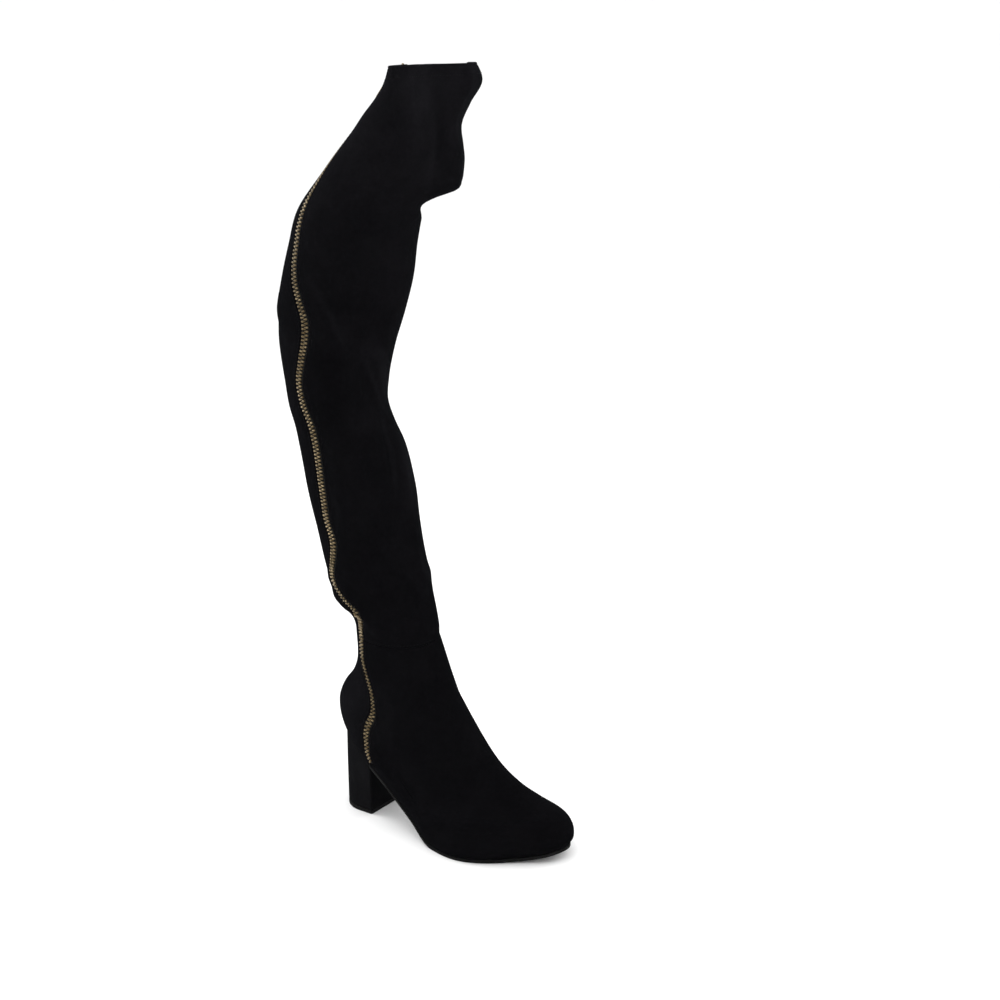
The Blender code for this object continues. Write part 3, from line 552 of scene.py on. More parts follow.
# One section of the shaft a row: height, centre x, centre y, half-length along its turned
# axis, half-width across it, and the axis's turn in degrees towards the inner side
SECTIONS = np.array((
    (173, 61.0, 0.0, 42.0, 25.5, 0),
    (188, 57.0, -0.5, 43.0, 28.0, 8),
    (203, 51.2, -1.5, 45.4, 30.5, 20),
    (220, 49.2, -2.5, 45.0, 33.0, 30),
    (245, 44.2, -3.5, 45.0, 35.5, 37),
    (275, 39.8, -4.8, 45.5, 39.0, 37),
    (310, 34.4, -5.8, 47.5, 43.0, 37),
    (345, 26.8, -7.2, 46.0, 46.5, 37),
    (362, 21.0, -8.4, 43.5, 47.5, 37),
    (380, 14.8, -9.0, 43.0, 49.0, 37),
    (402, 14.6, -9.2, 45.0, 50.5, 37),
    (430, 17.6, -9.0, 49.3, 51.5, 37),
    (460, 23.2, -7.8, 54.4, 52.0, 37),
    (490, 31.0, -6.6, 56.0, 52.5, 37),
    (520, 38.0, -5.6, 54.5, 55.0, 37),
    (550, 46.6, -3.2, 53.0, 57.5, 37),
    (575, 61.4, 0.0, 48.0, 60.0, 37),
    (600, 77.4, 2.4, 41.0, 62.0, 32),
    (625, 90.0, 4.2, 29.5, 63.5, 23),
    (650, 102.0, 6.8, 16.0, 62.0, 20),
    (675, 109.0, 9.0, 14.5, 58.0, 19)), float)
# Slack fold that bags out of the thigh's front inner side: (height, how far it stands out)
BAG = ((538, 0), (552, 0), (557, 9), (562, 21), (570, 24), (584, 22.5), (600, 17.5), (614, 15),
       (632, 21), (649, 30), (668, 20))
BAG_TURN = 40.0            # middle of the fold, turned from +X to the inner side
BAG_SPREAD = 56.0          # reach of the fold to either side of its middle
BAG_LEAN = 37.0            # way in which the fold stands out, turned to the inner side
# Middle of each zip's slit up the shaft: (height, outer zip, inner zip), from the back line
SHAFT_LINES = ((173, 54, 292), (181, 56, 290), (193, 68, 289), (205, 82, 288), (214, 73, 287),
               (224, 61, 286), (235, 64, 286), (247, 74, 286), (262, 81, 285), (285, 78, 284),
               (303, 81, 283), (330, 85, 283), (358, 90, 282), (373, 92, 281), (386, 89, 281),
               (404, 86, 280), (425, 92, 279), (445, 98, 278), (461, 98, 277), (476, 92, 277),
               (492, 86, 277), (530, 88, 277), (547, 91, 278), (560, 89, 278), (575, 84, 279),
               (600, 77, 280), (640, 71, 280), (675, 68, 280))
# Twist of the slack shaft's lines: (height, degrees; below 0 the back turns to the inner side)
TWIST = ((173, 0), (440, 0), (460, -2), (477, -5), (505, -11), (527, -17), (549, -24),
         (575, -32), (600, -40), (630, -46), (675, -50))
INNER_ZIP_TOP = 402.0      # level where the inner zip ends at mid-calf
INNER_WIDENING = 10.0      # extra half-width of the inner zip's columns above its end
INNER_WIDENED = 450.0      # level at which they have it all
ANKLE_BLENDED = 210.0      # level at which the ankle's ring has become the tube's section
TILT_END = 260.0           # level at which the ankle seam's tilt has run out
# Stretch panel below the scooped back of the collar: (level, half-width)
PANEL = ((173, 12), (470, 9), (531, 5), (600, 19), (650, 26), (668, 27))
PANEL_TIP = 531.0          # level of the panel's lower end
SCOOP_DEPTH = 108.0        # how far the collar's back lies below its front
SCOOP_START = 430.0        # level from which the rings start to sag into the scoop
SCOOP_FLAT = 29.0          # half-angle of the scoop's flat bottom
SCOOP_REACH = 64.0         # half-angle over which the scoop runs out
SCOOP_POWER = 1.25         # growth of the sag from its start to the collar


def tube(angle, height):
    """Point of the shaft at a height: an ellipse on a turned axis, plus the bagging fold."""
    section = through(SECTIONS[:, 0], SECTIONS[:, 1:], height)
    centre_x, centre_y, half_long, half_short, turn = (section[..., i] for i in range(5))
    turn = np.radians(turn)
    along = half_long * np.cos(np.pi + angle - turn)
    sideways = half_short * np.sin(np.pi + angle - turn)
    x = centre_x + along * np.cos(turn) - sideways * np.sin(turn)
    y = centre_y + along * np.sin(turn) + sideways * np.cos(turn)
    off_middle = np.pi + angle - math.radians(BAG_TURN)
    off_middle = (off_middle + np.pi) % (2 * np.pi) - np.pi
    window = np.cos(np.clip(off_middle / math.radians(BAG_SPREAD), -1, 1) * np.pi / 2) ** 2
    out = curve(BAG, height) * np.minimum(1, 1.3 * window)
    lean = math.radians(BAG_LEAN)
    return np.stack((x + out * math.cos(lean), y + out * math.sin(lean), height + 0 * x), axis=-1)


def unrolled(angle, level):
    """Turned angle and height of a point of the shaft: its level follows the tilted seam at
    the ankle and sags into the scoop, and its angle turns with the twist at that height."""
    seam = foot(angle, float(TOP_RING))
    from_back = np.abs((angle + np.pi) % (2 * np.pi) - np.pi)
    scoop = 1 - ease(math.radians(SCOOP_FLAT), math.radians(SCOOP_REACH), from_back)
    sinking = np.maximum(level - SCOOP_START, 0) / (COLLAR - SCOOP_START)
    sag = SCOOP_DEPTH * scoop * sinking ** SCOOP_POWER
    height = level + GAP + (seam[..., 2] - ANKLE) * (1 - ease(ANKLE, TILT_END, level)) - sag
    return angle + np.radians(curve(TWIST, height)), height, seam


def shaft(angle, level):
    """Point of the shaft: the ankle's ring eases into the tube's sections."""
    angle, level = np.broadcast_arrays(np.asarray(angle, float), np.asarray(level, float))
    turned, height, seam = unrolled(angle, level)
    point = tube(turned, height)
    blend = ease(ANKLE, ANKLE_BLENDED, level)[..., None]
    point[..., :2] = seam[..., :2] * (1 - blend) + point[..., :2] * blend
    return point


# Creases of the shaft: start, middle and end (degrees round the boot, height), half-width and
# rise, troughs below 0
SHAFT_FOLDS = (
    # outer side of the knee, running down to the front
    (91, 500, 120, 466, 143, 424, 4.5, 1.5),
    (120, 452, 130, 410, 124, 362, 12.0, -2.4),
    # front of the knee, where the slack shaft buckles
    (146, 440, 168, 402, 190, 364, 4.0, -1.9),
    (158, 442, 182, 406, 204, 372, 6.0, 1.6),
    (204, 372, 193, 345, 178, 298, 9.0, 1.4),
    (192, 376, 178, 350, 163, 300, 4.0, -1.4),
    # bag of the thigh: the crease that it springs from, and the ridge beside it
    (180, 668, 187, 606, 186, 552, 6.0, -2.6),
    (170, 668, 175, 620, 181, 588, 6.0, 1.4),
    (204, 640, 200, 610, 205, 575, 8.0, -1.2),
    (196, 572, 215, 566, 240, 574, 6.0, 1.2),
    # thigh above the outer zip
    (92, 560, 104, 600, 112, 660, 16.0, -1.0),
    (128, 540, 140, 590, 146, 650, 15.0, 1.1),
    # back of the knee
    (40, 476, 56, 464, 74, 444, 10.0, 1.0),
    (36, 460, 52, 448, 70, 436, 8.0, -1.6),
    (350, 486, 325, 476, 292, 452, 8.0, 2.2),
    (352, 468, 326, 456, 296, 430, 10.0, -2.2),
    (8, 470, 24, 466, 38, 470, 8.0, -1.4),
    # inner side of the thigh and knee
    (250, 560, 262, 500, 280, 450, 12.0, -1.6),
    (236, 500, 244, 450, 232, 400, 12.0, 1.2),
    # calf and shin
    (300, 400, 312, 350, 306, 290, 12.0, -1.0),
    (240, 370, 250, 320, 244, 270, 12.0, 0.9),
    (20, 400, 28, 340, 22, 280, 12.0, -0.9),
    (120, 330, 128, 290, 122, 240, 12.0, -0.8),
    # ankle, where the shaft slouches on the foot
    (56, 204, 70, 197, 92, 193, 3.5, 1.3),
    (60, 194, 78, 188, 100, 184, 4.0, -1.0),
    (92, 192, 97, 187, 103, 184, 2.2, 0.9),
    (158, 182, 172, 180, 188, 184, 3.0, -0.7),
    (160, 212, 180, 206, 205, 210, 5.0, -0.8),
    (150, 198, 172, 194, 200, 196, 4.5, 0.8),
    (250, 214, 272, 204, 296, 206, 5.0, 1.1),
    (246, 204, 270, 194, 300, 196, 4.5, -1.1),
    (318, 222, 345, 212, 12, 220, 6.0, -1.3),
    (316, 234, 345, 226, 14, 232, 6.0, 1.2),
    (20, 236, 36, 226, 48, 222, 5.0, 1.2))


# Painted light and shade on the shaft's suede, as a share: lighter up the height as painted light
# from above, and along lines like the creases' as painted sheen, painted shade below 0
SHAFT_PAINTED_LIGHT_BY_HEIGHT = ((173, 0.0), (290, 0.08), (400, 0.10), (500, 0.22), (560, 0.36), (620, 0.55),
              (675, 0.80))
# Painted sheen along the creases' ridges, and painted shade in the crease beside the bag and in the
# knee's hollow, below 0
SHAFT_PAINTED_SHADING = (
    # bag of the thigh: two bands, the crease between it and the thigh, and its lower end
    (148, 668, 164, 632, 164, 592, 7.0, 0.35),
    (169, 668, 172, 650, 173, 622, 4.0, 0.40),
    (187, 622, 187, 604, 184, 584, 3.5, -0.40),
    (177, 602, 181, 580, 184, 560, 4.0, 0.35),
    # knee: the edge of the outer fold with its hollow, and the folds of the front
    (91, 500, 120, 467, 143, 424, 2.6, 0.50),
    (122, 450, 128, 410, 126, 366, 12.0, -0.20),
    (154, 436, 177, 403, 200, 372, 2.0, 0.80),
    (168, 438, 192, 409, 206, 380, 8.0, 0.60),
    (194, 374, 180, 348, 166, 300, 2.2, 0.60),
    (206, 356, 198, 322, 190, 284, 11.0, 0.60),
    # shin and ankle
    (197, 256, 196, 240, 194, 222, 4.5, 0.50),
    (94, 308, 101, 295, 92, 280, 2.2, 0.35),
    (116, 372, 104, 330, 91, 263, 5.0, 0.25),
    (82, 196, 74, 184, 90, 177, 1.6, 0.60))


def shaft_relief(angle, level):
    """The creases, and waves of a few tenths of a millimetre that slack cloth has all over."""
    turned, height, _ = unrolled(*np.broadcast_arrays(angle, level))
    around = turned * SHAFT_RADIUS
    waves = (0.30 * np.sin(around / 17 + height / 41 + 1.2 * np.sin(height / 63))
             + 0.24 * np.sin(around / 11 - height / 29 + 1.7 * np.sin(around / 37))
             + 0.18 * np.sin(height / 19 + 2.1 * np.sin(around / 23 + height / 71)))
    held = ease(ANKLE, ANKLE + 8, level)
    return held * (ridges(SHAFT_FOLDS, turned, height, SHAFT_RADIUS) + waves)


def shaft_painted_shading(angle, level):
    """Share by which the shaft's suede colour is painted lighter, as painted light and sheen, or
    darker, as painted shade.
    """
    turned, height, _ = unrolled(*np.broadcast_arrays(angle, level))
    return curve(SHAFT_PAINTED_LIGHT_BY_HEIGHT, height) + ridges(SHAFT_PAINTED_SHADING, turned, height, SHAFT_RADIUS)


def shaft_edges(level):
    """Lines round one ring of the shaft: the back columns are the stretch panel's, and those of
    the inner zip spread out above its end."""
    panel = np.array(PANEL, float)
    return ring_lines(shaft, SHAFT_LINES, level, np.interp(level, panel[:, 0], panel[:, 1]),
                      ZIP_WIDTH / 2 + INNER_WIDENING * ease(INNER_ZIP_TOP, INNER_WIDENED, level))


INNER_COLUMNS = 8          # over the inner zip, where the collar turns its inner corner
SHAFT_CELLS = ((34, True, True), (1, False, False), (52, True, False), (52, False, True),
               (INNER_COLUMNS, False, False), (34, True, True), (14, False, False))
HEM = 9.0                  # folded hem at the collar
HEM_GROOVE = 0.15          # depth of the groove under the hem's stitches


def shaft_grid(levels, depth, edge_relief):
    """Points of the shaft at one depth below its surface, with creases, turned edges, the
    panel's seams, the ankle seam and the collar's hem."""
    angles = spread(shaft_edges, levels, SHAFT_CELLS)
    heights = np.broadcast_to(levels[:, None], angles.shape)
    rise = shaft_relief(angles, heights) - depth
    if edge_relief:
        outer_away, inner_away = beside_slits(shaft_edges, angles, levels)
        rise = rise + turned_edge(outer_away)
        below_end = 1 - ease(INNER_ZIP_TOP, INNER_ZIP_TOP + 2, heights)
        rise = rise + turned_edge(inner_away) * below_end
        lines, speeds = shaft_edges(levels)
        panel_away = np.minimum(angles - lines[0][:, None],
                                lines[6][:, None] - angles) * speeds[0][:, None]
        above_tip = ease(PANEL_TIP - 1, PANEL_TIP + 1, heights)
        rise = rise + turned_edge(np.maximum(panel_away, 0)) * above_tip
        rise = rise + SEAM_SHARE * turned_edge(heights - ANKLE) + turned_edge(COLLAR - heights)
        rise = rise - HEM_GROOVE * bell(COLLAR - heights - HEM, 0.7)
    return raised(shaft, angles, heights, rise)


shaft_levels = np.unique(np.concatenate((
    ANKLE + np.array(EDGE_STEPS), np.linspace(ANKLE + 5.5, 250, 34), np.linspace(250, 440, 54),
    (INNER_ZIP_TOP, PANEL_TIP), np.linspace(440, 545, 32), np.linspace(545, 600, 24),
    np.linspace(600, COLLAR - HEM - 2, 20), COLLAR - HEM + np.linspace(-1.4, 1.4, 7),
    COLLAR - np.array(EDGE_STEPS), COLLAR - np.linspace(4.6, 7, 3))))
PANEL_COLUMN = sum(count for count, *_ in SHAFT_CELLS[:6])


def shaft_kept(levels):
    """Kept cells of the shaft: all but the outer slit, the inner slit below the zip's end, and
    the stretch panel's columns above its lower end."""
    keep = np.ones((len(levels) - 1, sum(count for count, *_ in SHAFT_CELLS)), bool)
    keep[:, OUTER_SLIT] = False
    keep[levels[:-1] < INNER_ZIP_TOP, INNER_SLIT:INNER_SLIT + INNER_COLUMNS] = False
    keep[levels[:-1] >= PANEL_TIP, PANEL_COLUMN:] = False
    return keep


# The shaft's suede carries painted light and shade at each grid point
shaft_suede = wall("shaft_suede", shaft_grid(shaft_levels, 0.0, True),
                   shaft_grid(shaft_levels, SUEDE, False), shaft_kept(shaft_levels), True, suede,
                   painted_shading=shaft_painted_shading(spread(shaft_edges, shaft_levels, SHAFT_CELLS),
                                 shaft_levels[:, None]))
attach(shaft_suede, "root")
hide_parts("upper_shaft")

lining_rows = np.zeros(len(shaft_levels), bool)
lining_rows[::LINING_STRIDE] = True
lining_rows |= np.isin(shaft_levels, (INNER_ZIP_TOP, PANEL_TIP, COLLAR))
lining_levels = shaft_levels[lining_rows]
shaft_lining = lining_wall("shaft_lining", shaft_grid, shaft_edges, SHAFT_CELLS, lining_levels,
                           shaft_kept(lining_levels))
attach(shaft_lining, "root")

# ---- Stretch panel at the back of the thigh --------------------------------------------------
# A wedge of stretch suede is seamed in below the scooped back, so that the collar grips the
# thigh. Its top is turned over a flat elastic, which stands out as a band.

PANEL_COLUMNS = 30
BAND = 8.0                 # elastic band at the panel's top
BAND_RISE, BAND_GROOVE = 0.35, 0.25


def panel_grid(levels, depth, edge_relief):
    """Points of the wedge between the shaft's two cut edges: it sinks towards both seams,
    and swells over the band of elastic at its top."""
    lines, speeds = shaft_edges(levels)
    inset = GAP / speeds[0]
    start, end = lines[6] + inset, lines[7] - inset
    half = (end - start) * speeds[0] / 2
    share = (1 - np.cos(np.pi * np.linspace(0, 1, PANEL_COLUMNS + 1))) / 2
    angles = start[:, None] * (1 - share) + end[:, None] * share
    heights = np.broadcast_to(levels[:, None], angles.shape)
    away = half[:, None] * (1 - np.abs(2 * share - 1))
    rise = shaft_relief(angles, heights) - depth
    if edge_relief:
        down = COLLAR - heights
        rise = rise + turned_edge(away) + turned_edge(down)
        rise = rise + BAND_RISE * (1 - ease(BAND - 0.8, BAND + 0.8, down)) * ease(0, 1.5, away)
        rise = rise - BAND_GROOVE * bell(down - BAND, 0.6)
    return raised(shaft, angles, heights, rise), (share - 0.5) * 2 * half[:, None]


panel_levels = np.unique(np.concatenate((
    np.linspace(PANEL_TIP + 2 * GAP, COLLAR - BAND - 2, 60), COLLAR - np.array(EDGE_STEPS),
    COLLAR - BAND + np.linspace(-1.6, 1.6, 7), COLLAR - np.linspace(4.6, 6, 3))))
stretch_suede = knit_finish("black_stretch_suede", (0.002, 0.002, 0.0024),
                            (0.0052, 0.0052, 0.006), 0.45, 0.9, 0.012)
panel_outer, panel_across = panel_grid(panel_levels, 0.0, True)
panel_inner, _ = panel_grid(panel_levels, WALL, False)
panel_keep = np.ones((len(panel_levels) - 1, PANEL_COLUMNS), bool)
back_panel = wall("back_stretch_panel_cloth", panel_outer, panel_inner, panel_keep, False,
                  stretch_suede, (panel_across, panel_outer[..., 2]))
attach(back_panel, "root")
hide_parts("back_stretch_panel")

# ---- Insole ----------------------------------------------------------------------------------
# A soft sock over the insole board lies on the last's bottom inside the foot, from the heel to
# the toe, and is glued down.

INSOLE_THICKNESS = 2.2
# Middle line of the last: (distance from the heel, how far it lies to the inner side)
SPINE = ((0, 0), (100, -10), (165, -2), (225, 5), (240, 6))
INSOLE_SPINE = (28, 205)   # its stretch to which the sock's rings shrink


def feather_point(angle, grow):
    """Plan point of the feather line, moved out by grow."""
    step = 0.002
    along = unit(foot(angle + step, 0.0)[..., :2] - foot(angle - step, 0.0)[..., :2])
    outwards = np.stack((along[..., 1], -along[..., 0]), axis=-1)
    return foot(angle, 0.0)[..., :2] + grow * outwards


def drawn_in(plan, target, inset):
    """Plan points moved by inset towards their targets, and no further."""
    way = target - plan
    length = np.maximum(np.linalg.norm(way, axis=-1, keepdims=True), 1e-6)
    return plan + way * np.minimum(inset / length, 1)


def at_height(plan, height):
    """Plan points at one height, or each at its own."""
    return np.concatenate((plan, np.broadcast_to(height, plan.shape[:-1])[..., None]), axis=-1)


def ring_quads(count, sides, around=False):
    """Quads of a tube of rings numbered one after another; around joins its last ring to its
    first."""
    number = np.arange(count * sides).reshape(count, sides)
    if around:
        number = np.concatenate((number, number[:1]))
    ahead = np.roll(number, -1, axis=1)
    return np.stack((number[:-1], ahead[:-1], ahead[1:], number[1:]), axis=-1).reshape(-1, 4)


def loft(name, rings, finish):
    """Closed body through closed rings (ring, point, xyz); the first and the last have shrunk
    to a line or a point. Doubled points are merged and the normals turned outwards."""
    piece = make_mesh(name, rings.reshape(-1, 3), [ring_quads(*rings.shape[:2])], finish)
    close_up(piece)
    return piece


def close_up(piece):
    """Merges doubled points, drops faces without area and turns the normals outwards."""
    work = bmesh.new()
    work.from_mesh(piece.data)
    bmesh.ops.remove_doubles(work, verts=work.verts, dist=2e-6)
    bmesh.ops.dissolve_degenerate(work, edges=work.edges, dist=1e-6)
    bmesh.ops.recalc_face_normals(work, faces=work.faces)
    work.to_mesh(piece.data)
    work.free()
    piece.data.set_sharp_from_angle(angle=SHARP_EDGE)


SPINE_INSET = 60.0         # more than half the sole's width: the ring shrinks to the spine


def slab_rings(plan, profile, heights, stretch):
    """Rings of a sole: profile rows are (inset, share from bottom to top), and heights gives
    the bottom and the top at any plan point. Insets go towards a stretch of the spine."""
    spine = np.stack((np.clip(plan[..., 0], *stretch), curve(SPINE, plan[..., 0])), axis=-1)
    rings = []
    for inset, share in profile:
        at = drawn_in(plan, spine, inset)
        bottom, top = heights(at[..., 0], at[..., 1])
        rings.append(at_height(at, bottom * (1 - share) + top * share))
    return np.array(rings)


def insole_heights(x, y):
    """Underside and top of the sock, a little above the last's bottom."""
    under = seat(x, y) + 2 * GAP
    return under, under + INSOLE_THICKNESS


INSOLE_PROFILE = ((SPINE_INSET, 0), (20, 0), (0.5, 0), (0, 0.2), (0, 0.75), (0.7, 1), (3, 1),
                  (8, 1), (20, 1), (SPINE_INSET, 1))
insole_plan = feather_point(np.linspace(0, 2 * np.pi, 241)[:-1], -(WALL + 2 * GAP))
insole_sock = loft(
    "insole_sock", slab_rings(insole_plan, INSOLE_PROFILE, insole_heights, INSOLE_SPINE),
    suede_finish("black_sock", (0.010, 0.010, 0.011), (0.018, 0.018, 0.019), 0.04))
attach(insole_sock, "root")
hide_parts("insole")

# ---- Outsole ---------------------------------------------------------------------------------
# The outsole is a thin moulded rubber sheet, cemented from the heel's breast to the toe. Its
# edge stands a little outside the upper and is trimmed round.

SOLE_THICKNESS = 3.5
SOLE_PROUD = 0.6           # its edge outside the feather line
OUTSOLE_SPINE = (60, 212)
BREAST_TOP, BREAST_FLOOR = 54.0, 45.0   # heel's front face at the sole and at the floor


def breast_angle(x):
    """Angle around the feather line at which it passes this distance from the heel."""
    return math.acos(1 - 2 * (x - HEEL_POINT) / (FOOT_LENGTH - HEEL_POINT))


def rubber_finish(name, dark, light):
    """Moulded rubber: faint clouding, a fine sand texture and scattered small scuffs."""
    made, shader, add, where = paint(name)
    scuffs = noise(add, where, 5, 6.0, Distortion=1.5)
    feed(shader, {"Base Color": blend_of(add, noise(add, where, 14, 4.0), dark, light),
                  "Roughness": stretched(add, scuffs, 0.6, 0.85, 0.35, 0.7),
                  "Normal": emboss(add, noise(add, where, 0.35, 2.0), 0.4, 0.06),
                  "Specular IOR Level": 0.08})
    return made


sole_rubber = rubber_finish("black_sole_rubber", (0.003, 0.003, 0.003), (0.0055, 0.0055, 0.0055))


def outsole_heights(x, y):
    """Underside and top of the sole: it follows the last and lies flat under the ball."""
    top = seat(x, y) - GAP
    return np.maximum(top - SOLE_THICKNESS, 0), top


def round_corner(corner, before, after, radius, steps):
    """Parabola that rounds a corner, from radius before it to radius after it."""
    share = np.linspace(0, 1, steps)[:, None]
    return ((1 - share) ** 2 * (corner + unit(before) * radius)
            + 2 * share * (1 - share) * corner + share ** 2 * (corner + unit(after) * radius))


def ring_with_breast(angles, grow, radius):
    """Plan of the sole's edge from the breast over the toe and back, with the breast's two
    corners rounded by parabolas and a straight line between them."""
    edge = feather_point(angles, grow)
    first, last = edge[0], edge[-1]
    breast = np.linspace(last, first, 26)[1:-1]
    return np.concatenate((
        edge[2:-2], round_corner(last, edge[-2] - last, first - last, radius, 7),
        breast[1:-1], round_corner(first, last - first, edge[1] - first, radius, 7)))


OUTSOLE_PROFILE = ((SPINE_INSET, 1), (20, 1), (4, 1), (1.2, 1), (0.3, 0.98), (0.05, 0.9), (0, 0.75),
                   (0.05, 0.5), (0, 0.28), (0.25, 0.10), (0.7, 0.02), (1.4, 0), (5, 0), (20, 0),
                   (SPINE_INSET, 0))
outsole_start = breast_angle(BREAST_TOP + 2 * GAP)
outsole_plan = ring_with_breast(np.linspace(outsole_start, 2 * np.pi - outsole_start, 240),
                                SOLE_PROUD, 1.2)
outsole = loft("outsole_rubber",
               slab_rings(outsole_plan, OUTSOLE_PROFILE, outsole_heights, OUTSOLE_SPINE),
               sole_rubber)
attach(outsole, "root")
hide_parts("outsole")

# ---- Heel ------------------------------------------------------------------------------------
# The block heel is a moulded core wrapped in the upper's suede, flat at the breast and round
# behind, screwed up into the heel seat. A rubber top piece is nailed under it.

HEEL_HALF = 25.5           # half-width of the block at the floor
HEEL_BACK = 3.3            # its back at the floor
LIFT_THICKNESS = 4.0
BREAST_CORNER = 2.0        # rounding of the breast's two upright edges
HEEL_TURN_STEPS = 44
FEATHER_REACHED = SEAT_HEIGHT - 12      # height from which the heel follows the feather line
HEEL_MIDDLE = np.array((26.0, 0.0))


def heel_plan(height):
    """Plan of the heel at a height: round behind and flat at the breast on the floor, easing
    into the feather line at the seat, with parabolas at the breast's corners."""
    reach_angle = breast_angle(BREAST_TOP)
    turn = np.linspace(-1, 1, 2 * HEEL_TURN_STEPS + 1) * reach_angle
    upper = feather_point(np.where(turn < 0, -turn, 2 * np.pi - turn), -0.2)
    reach = (foot(np.abs(turn), 0.0)[:, 0] - HEEL_POINT) / (BREAST_TOP - HEEL_POINT)
    x = HEEL_BACK + (BREAST_FLOOR - HEEL_BACK) * reach
    round_back = np.clip((x - HEEL_BACK) / HEEL_HALF, 0, 1)
    y = HEEL_HALF * np.sqrt(1 - (1 - round_back) ** 2) * np.sign(turn)
    rise = min(height / FEATHER_REACHED, 1)
    edge = np.stack((x, y), axis=-1) * (1 - rise) + upper * rise
    first, last = edge[0], edge[-1]
    breast = last + (first - last) * np.linspace(0, 1, 22)[:, None]
    keep_off = int(np.ceil(BREAST_CORNER * 1.2 / np.linalg.norm(edge[1] - first)))
    return np.concatenate((
        edge[keep_off:-keep_off],
        round_corner(last, edge[-2] - last, first - last, BREAST_CORNER, 8),
        breast[3:-3], round_corner(first, last - first, edge[1] - first, BREAST_CORNER, 8)))


def heel_rings(low, high, profile):
    """Rings between a low and a high edge, both (point, xyz): profile rows are (inset, share
    from low to high); the inset moves a point towards the block's middle."""
    rings = []
    for inset, share in profile:
        at = low * (1 - share) + high * share
        rings.append(at_height(drawn_in(at[:, :2], HEEL_MIDDLE, inset), at[:, 2]))
    return np.array(rings)


heel_low = at_height(heel_plan(LIFT_THICKNESS + GAP), LIFT_THICKNESS + GAP)
heel_high = heel_plan(SEAT_HEIGHT)
heel_high = at_height(heel_high, seat(heel_high[:, 0], heel_high[:, 1]) - GAP)
HEEL_PROFILE = ((SPINE_INSET, 0), (8, 0), (1.2, 0), (0.45, 0.004), (0.1, 0.014), (0, 0.03),
                (-0.05, 0.1), (-0.15, 0.3), (-0.2, 0.5), (-0.15, 0.7), (-0.05, 0.9), (0, 0.965),
                (0.15, 0.985), (0.5, 0.996), (1.2, 1.0), (8, 1.0))
heel_body = heel_rings(heel_low, heel_high, HEEL_PROFILE)
heel_top = np.broadcast_to(np.append(HEEL_MIDDLE, seat(*HEEL_MIDDLE) - GAP - 1.0),
                           heel_body[:1].shape)
# A lighter copy of the black suede: the heel's colours are painted brighter, as painted light on
# its sides and breast
lit_heel_suede = suede_finish("lit_heel_suede", (0.0044, 0.0044, 0.0049), (0.0066, 0.0065, 0.0072), 0.006)
heel_cover = loft("heel_cover", np.concatenate((heel_body, heel_top)), lit_heel_suede)
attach(heel_cover, "root")
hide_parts("heel_block")

LIFT_PROFILE = ((SPINE_INSET, 0), (8, 0), (1.0, 0), (0.35, 0.04), (0.05, 0.16), (0, 0.35),
                (0, 0.8), (0.08, 0.93), (0.35, 1), (8, 1), (SPINE_INSET, 1))
lift_low = at_height(heel_plan(0), 0.0)
lift_high = at_height(heel_plan(LIFT_THICKNESS), LIFT_THICKNESS)
top_piece = loft("heel_top_piece", heel_rings(lift_low, lift_high, LIFT_PROFILE), sole_rubber)
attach(top_piece, "root")
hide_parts("heel_lift")

# ---- Stitches --------------------------------------------------------------------------------
# Black thread, slightly shinier than the nap: a topstitch along both sides of each zip, a row
# above the ankle seam, one round the collar's hem, and one down each seam of the panel.

STITCH_PITCH, STITCH_LENGTH, THREAD = 3.0, 2.2, 0.30
TURNED_OVER = (0, 3, 2, 1)              # a quad's corners the other way round


def bar_template(stations, sides):
    """Small closed bar along +Y: stations rows are (y, radius, lift); returns points and
    quads, with each end drawn to a point."""
    turn = np.linspace(0, 2 * np.pi, sides, endpoint=False)
    stations = np.array(stations, float)
    points = np.stack((np.outer(stations[:, 1], np.cos(turn)),
                       np.repeat(stations[:, :1], sides, axis=1),
                       np.outer(stations[:, 1], np.sin(turn)) + stations[:, 2:3]), axis=-1)
    return points.reshape(-1, 3), ring_quads(len(stations), sides)[:, TURNED_OVER]


def repeat(points, quads, places, sides, alongs, normals):
    """The template at every place, its x on sides, y on alongs and z on normals."""
    axes = np.stack((sides, alongs, normals), axis=1)
    all_points = places[:, None] + np.einsum("kc,nca->nka", points, axes)
    shifts = np.arange(len(places))[:, None, None] * len(points)
    return all_points.reshape(-1, 3), (quads[None] + shifts).reshape(-1, 4)


def run_lengths(points):
    """Length of a line of points from its start to each of them."""
    return np.concatenate(([0], np.cumsum(np.linalg.norm(np.diff(points, axis=0), axis=1))))


def sample(at, lengths, values):
    """Vectors of a line at some lengths along it, straight between its own."""
    return np.stack([np.interp(at, lengths, values[:, i]) for i in range(3)], axis=-1)


def run_frames(points, normals, pitch, start=0.0):
    """Places a pitch apart along a line of points, with unit sides, alongs and normals."""
    lengths = run_lengths(points)
    at = np.arange(start, lengths[-1], pitch)
    along = unit(sample(at, lengths, np.gradient(points, lengths, axis=0)))
    normal = unit(sample(at, lengths, normals))
    side = unit(np.cross(along, normal))
    return sample(at, lengths, points), side, along, unit(np.cross(side, along))


def joined(name, parts, finish):
    """One piece of several bodies of (points, quads)."""
    starts = np.cumsum([0] + [len(points) for points, _ in parts[:-1]])
    return make_mesh(name, np.concatenate([points for points, _ in parts]),
                     [quads + start for (_, quads), start in zip(parts, starts)], finish)


def surface_line(surface, relief, angles, levels, lift):
    """Points and normals of a line on the dressed surface, lifted off it."""
    return (raised(surface, angles, levels, relief(angles, levels) + lift),
            outward(surface, angles, levels))


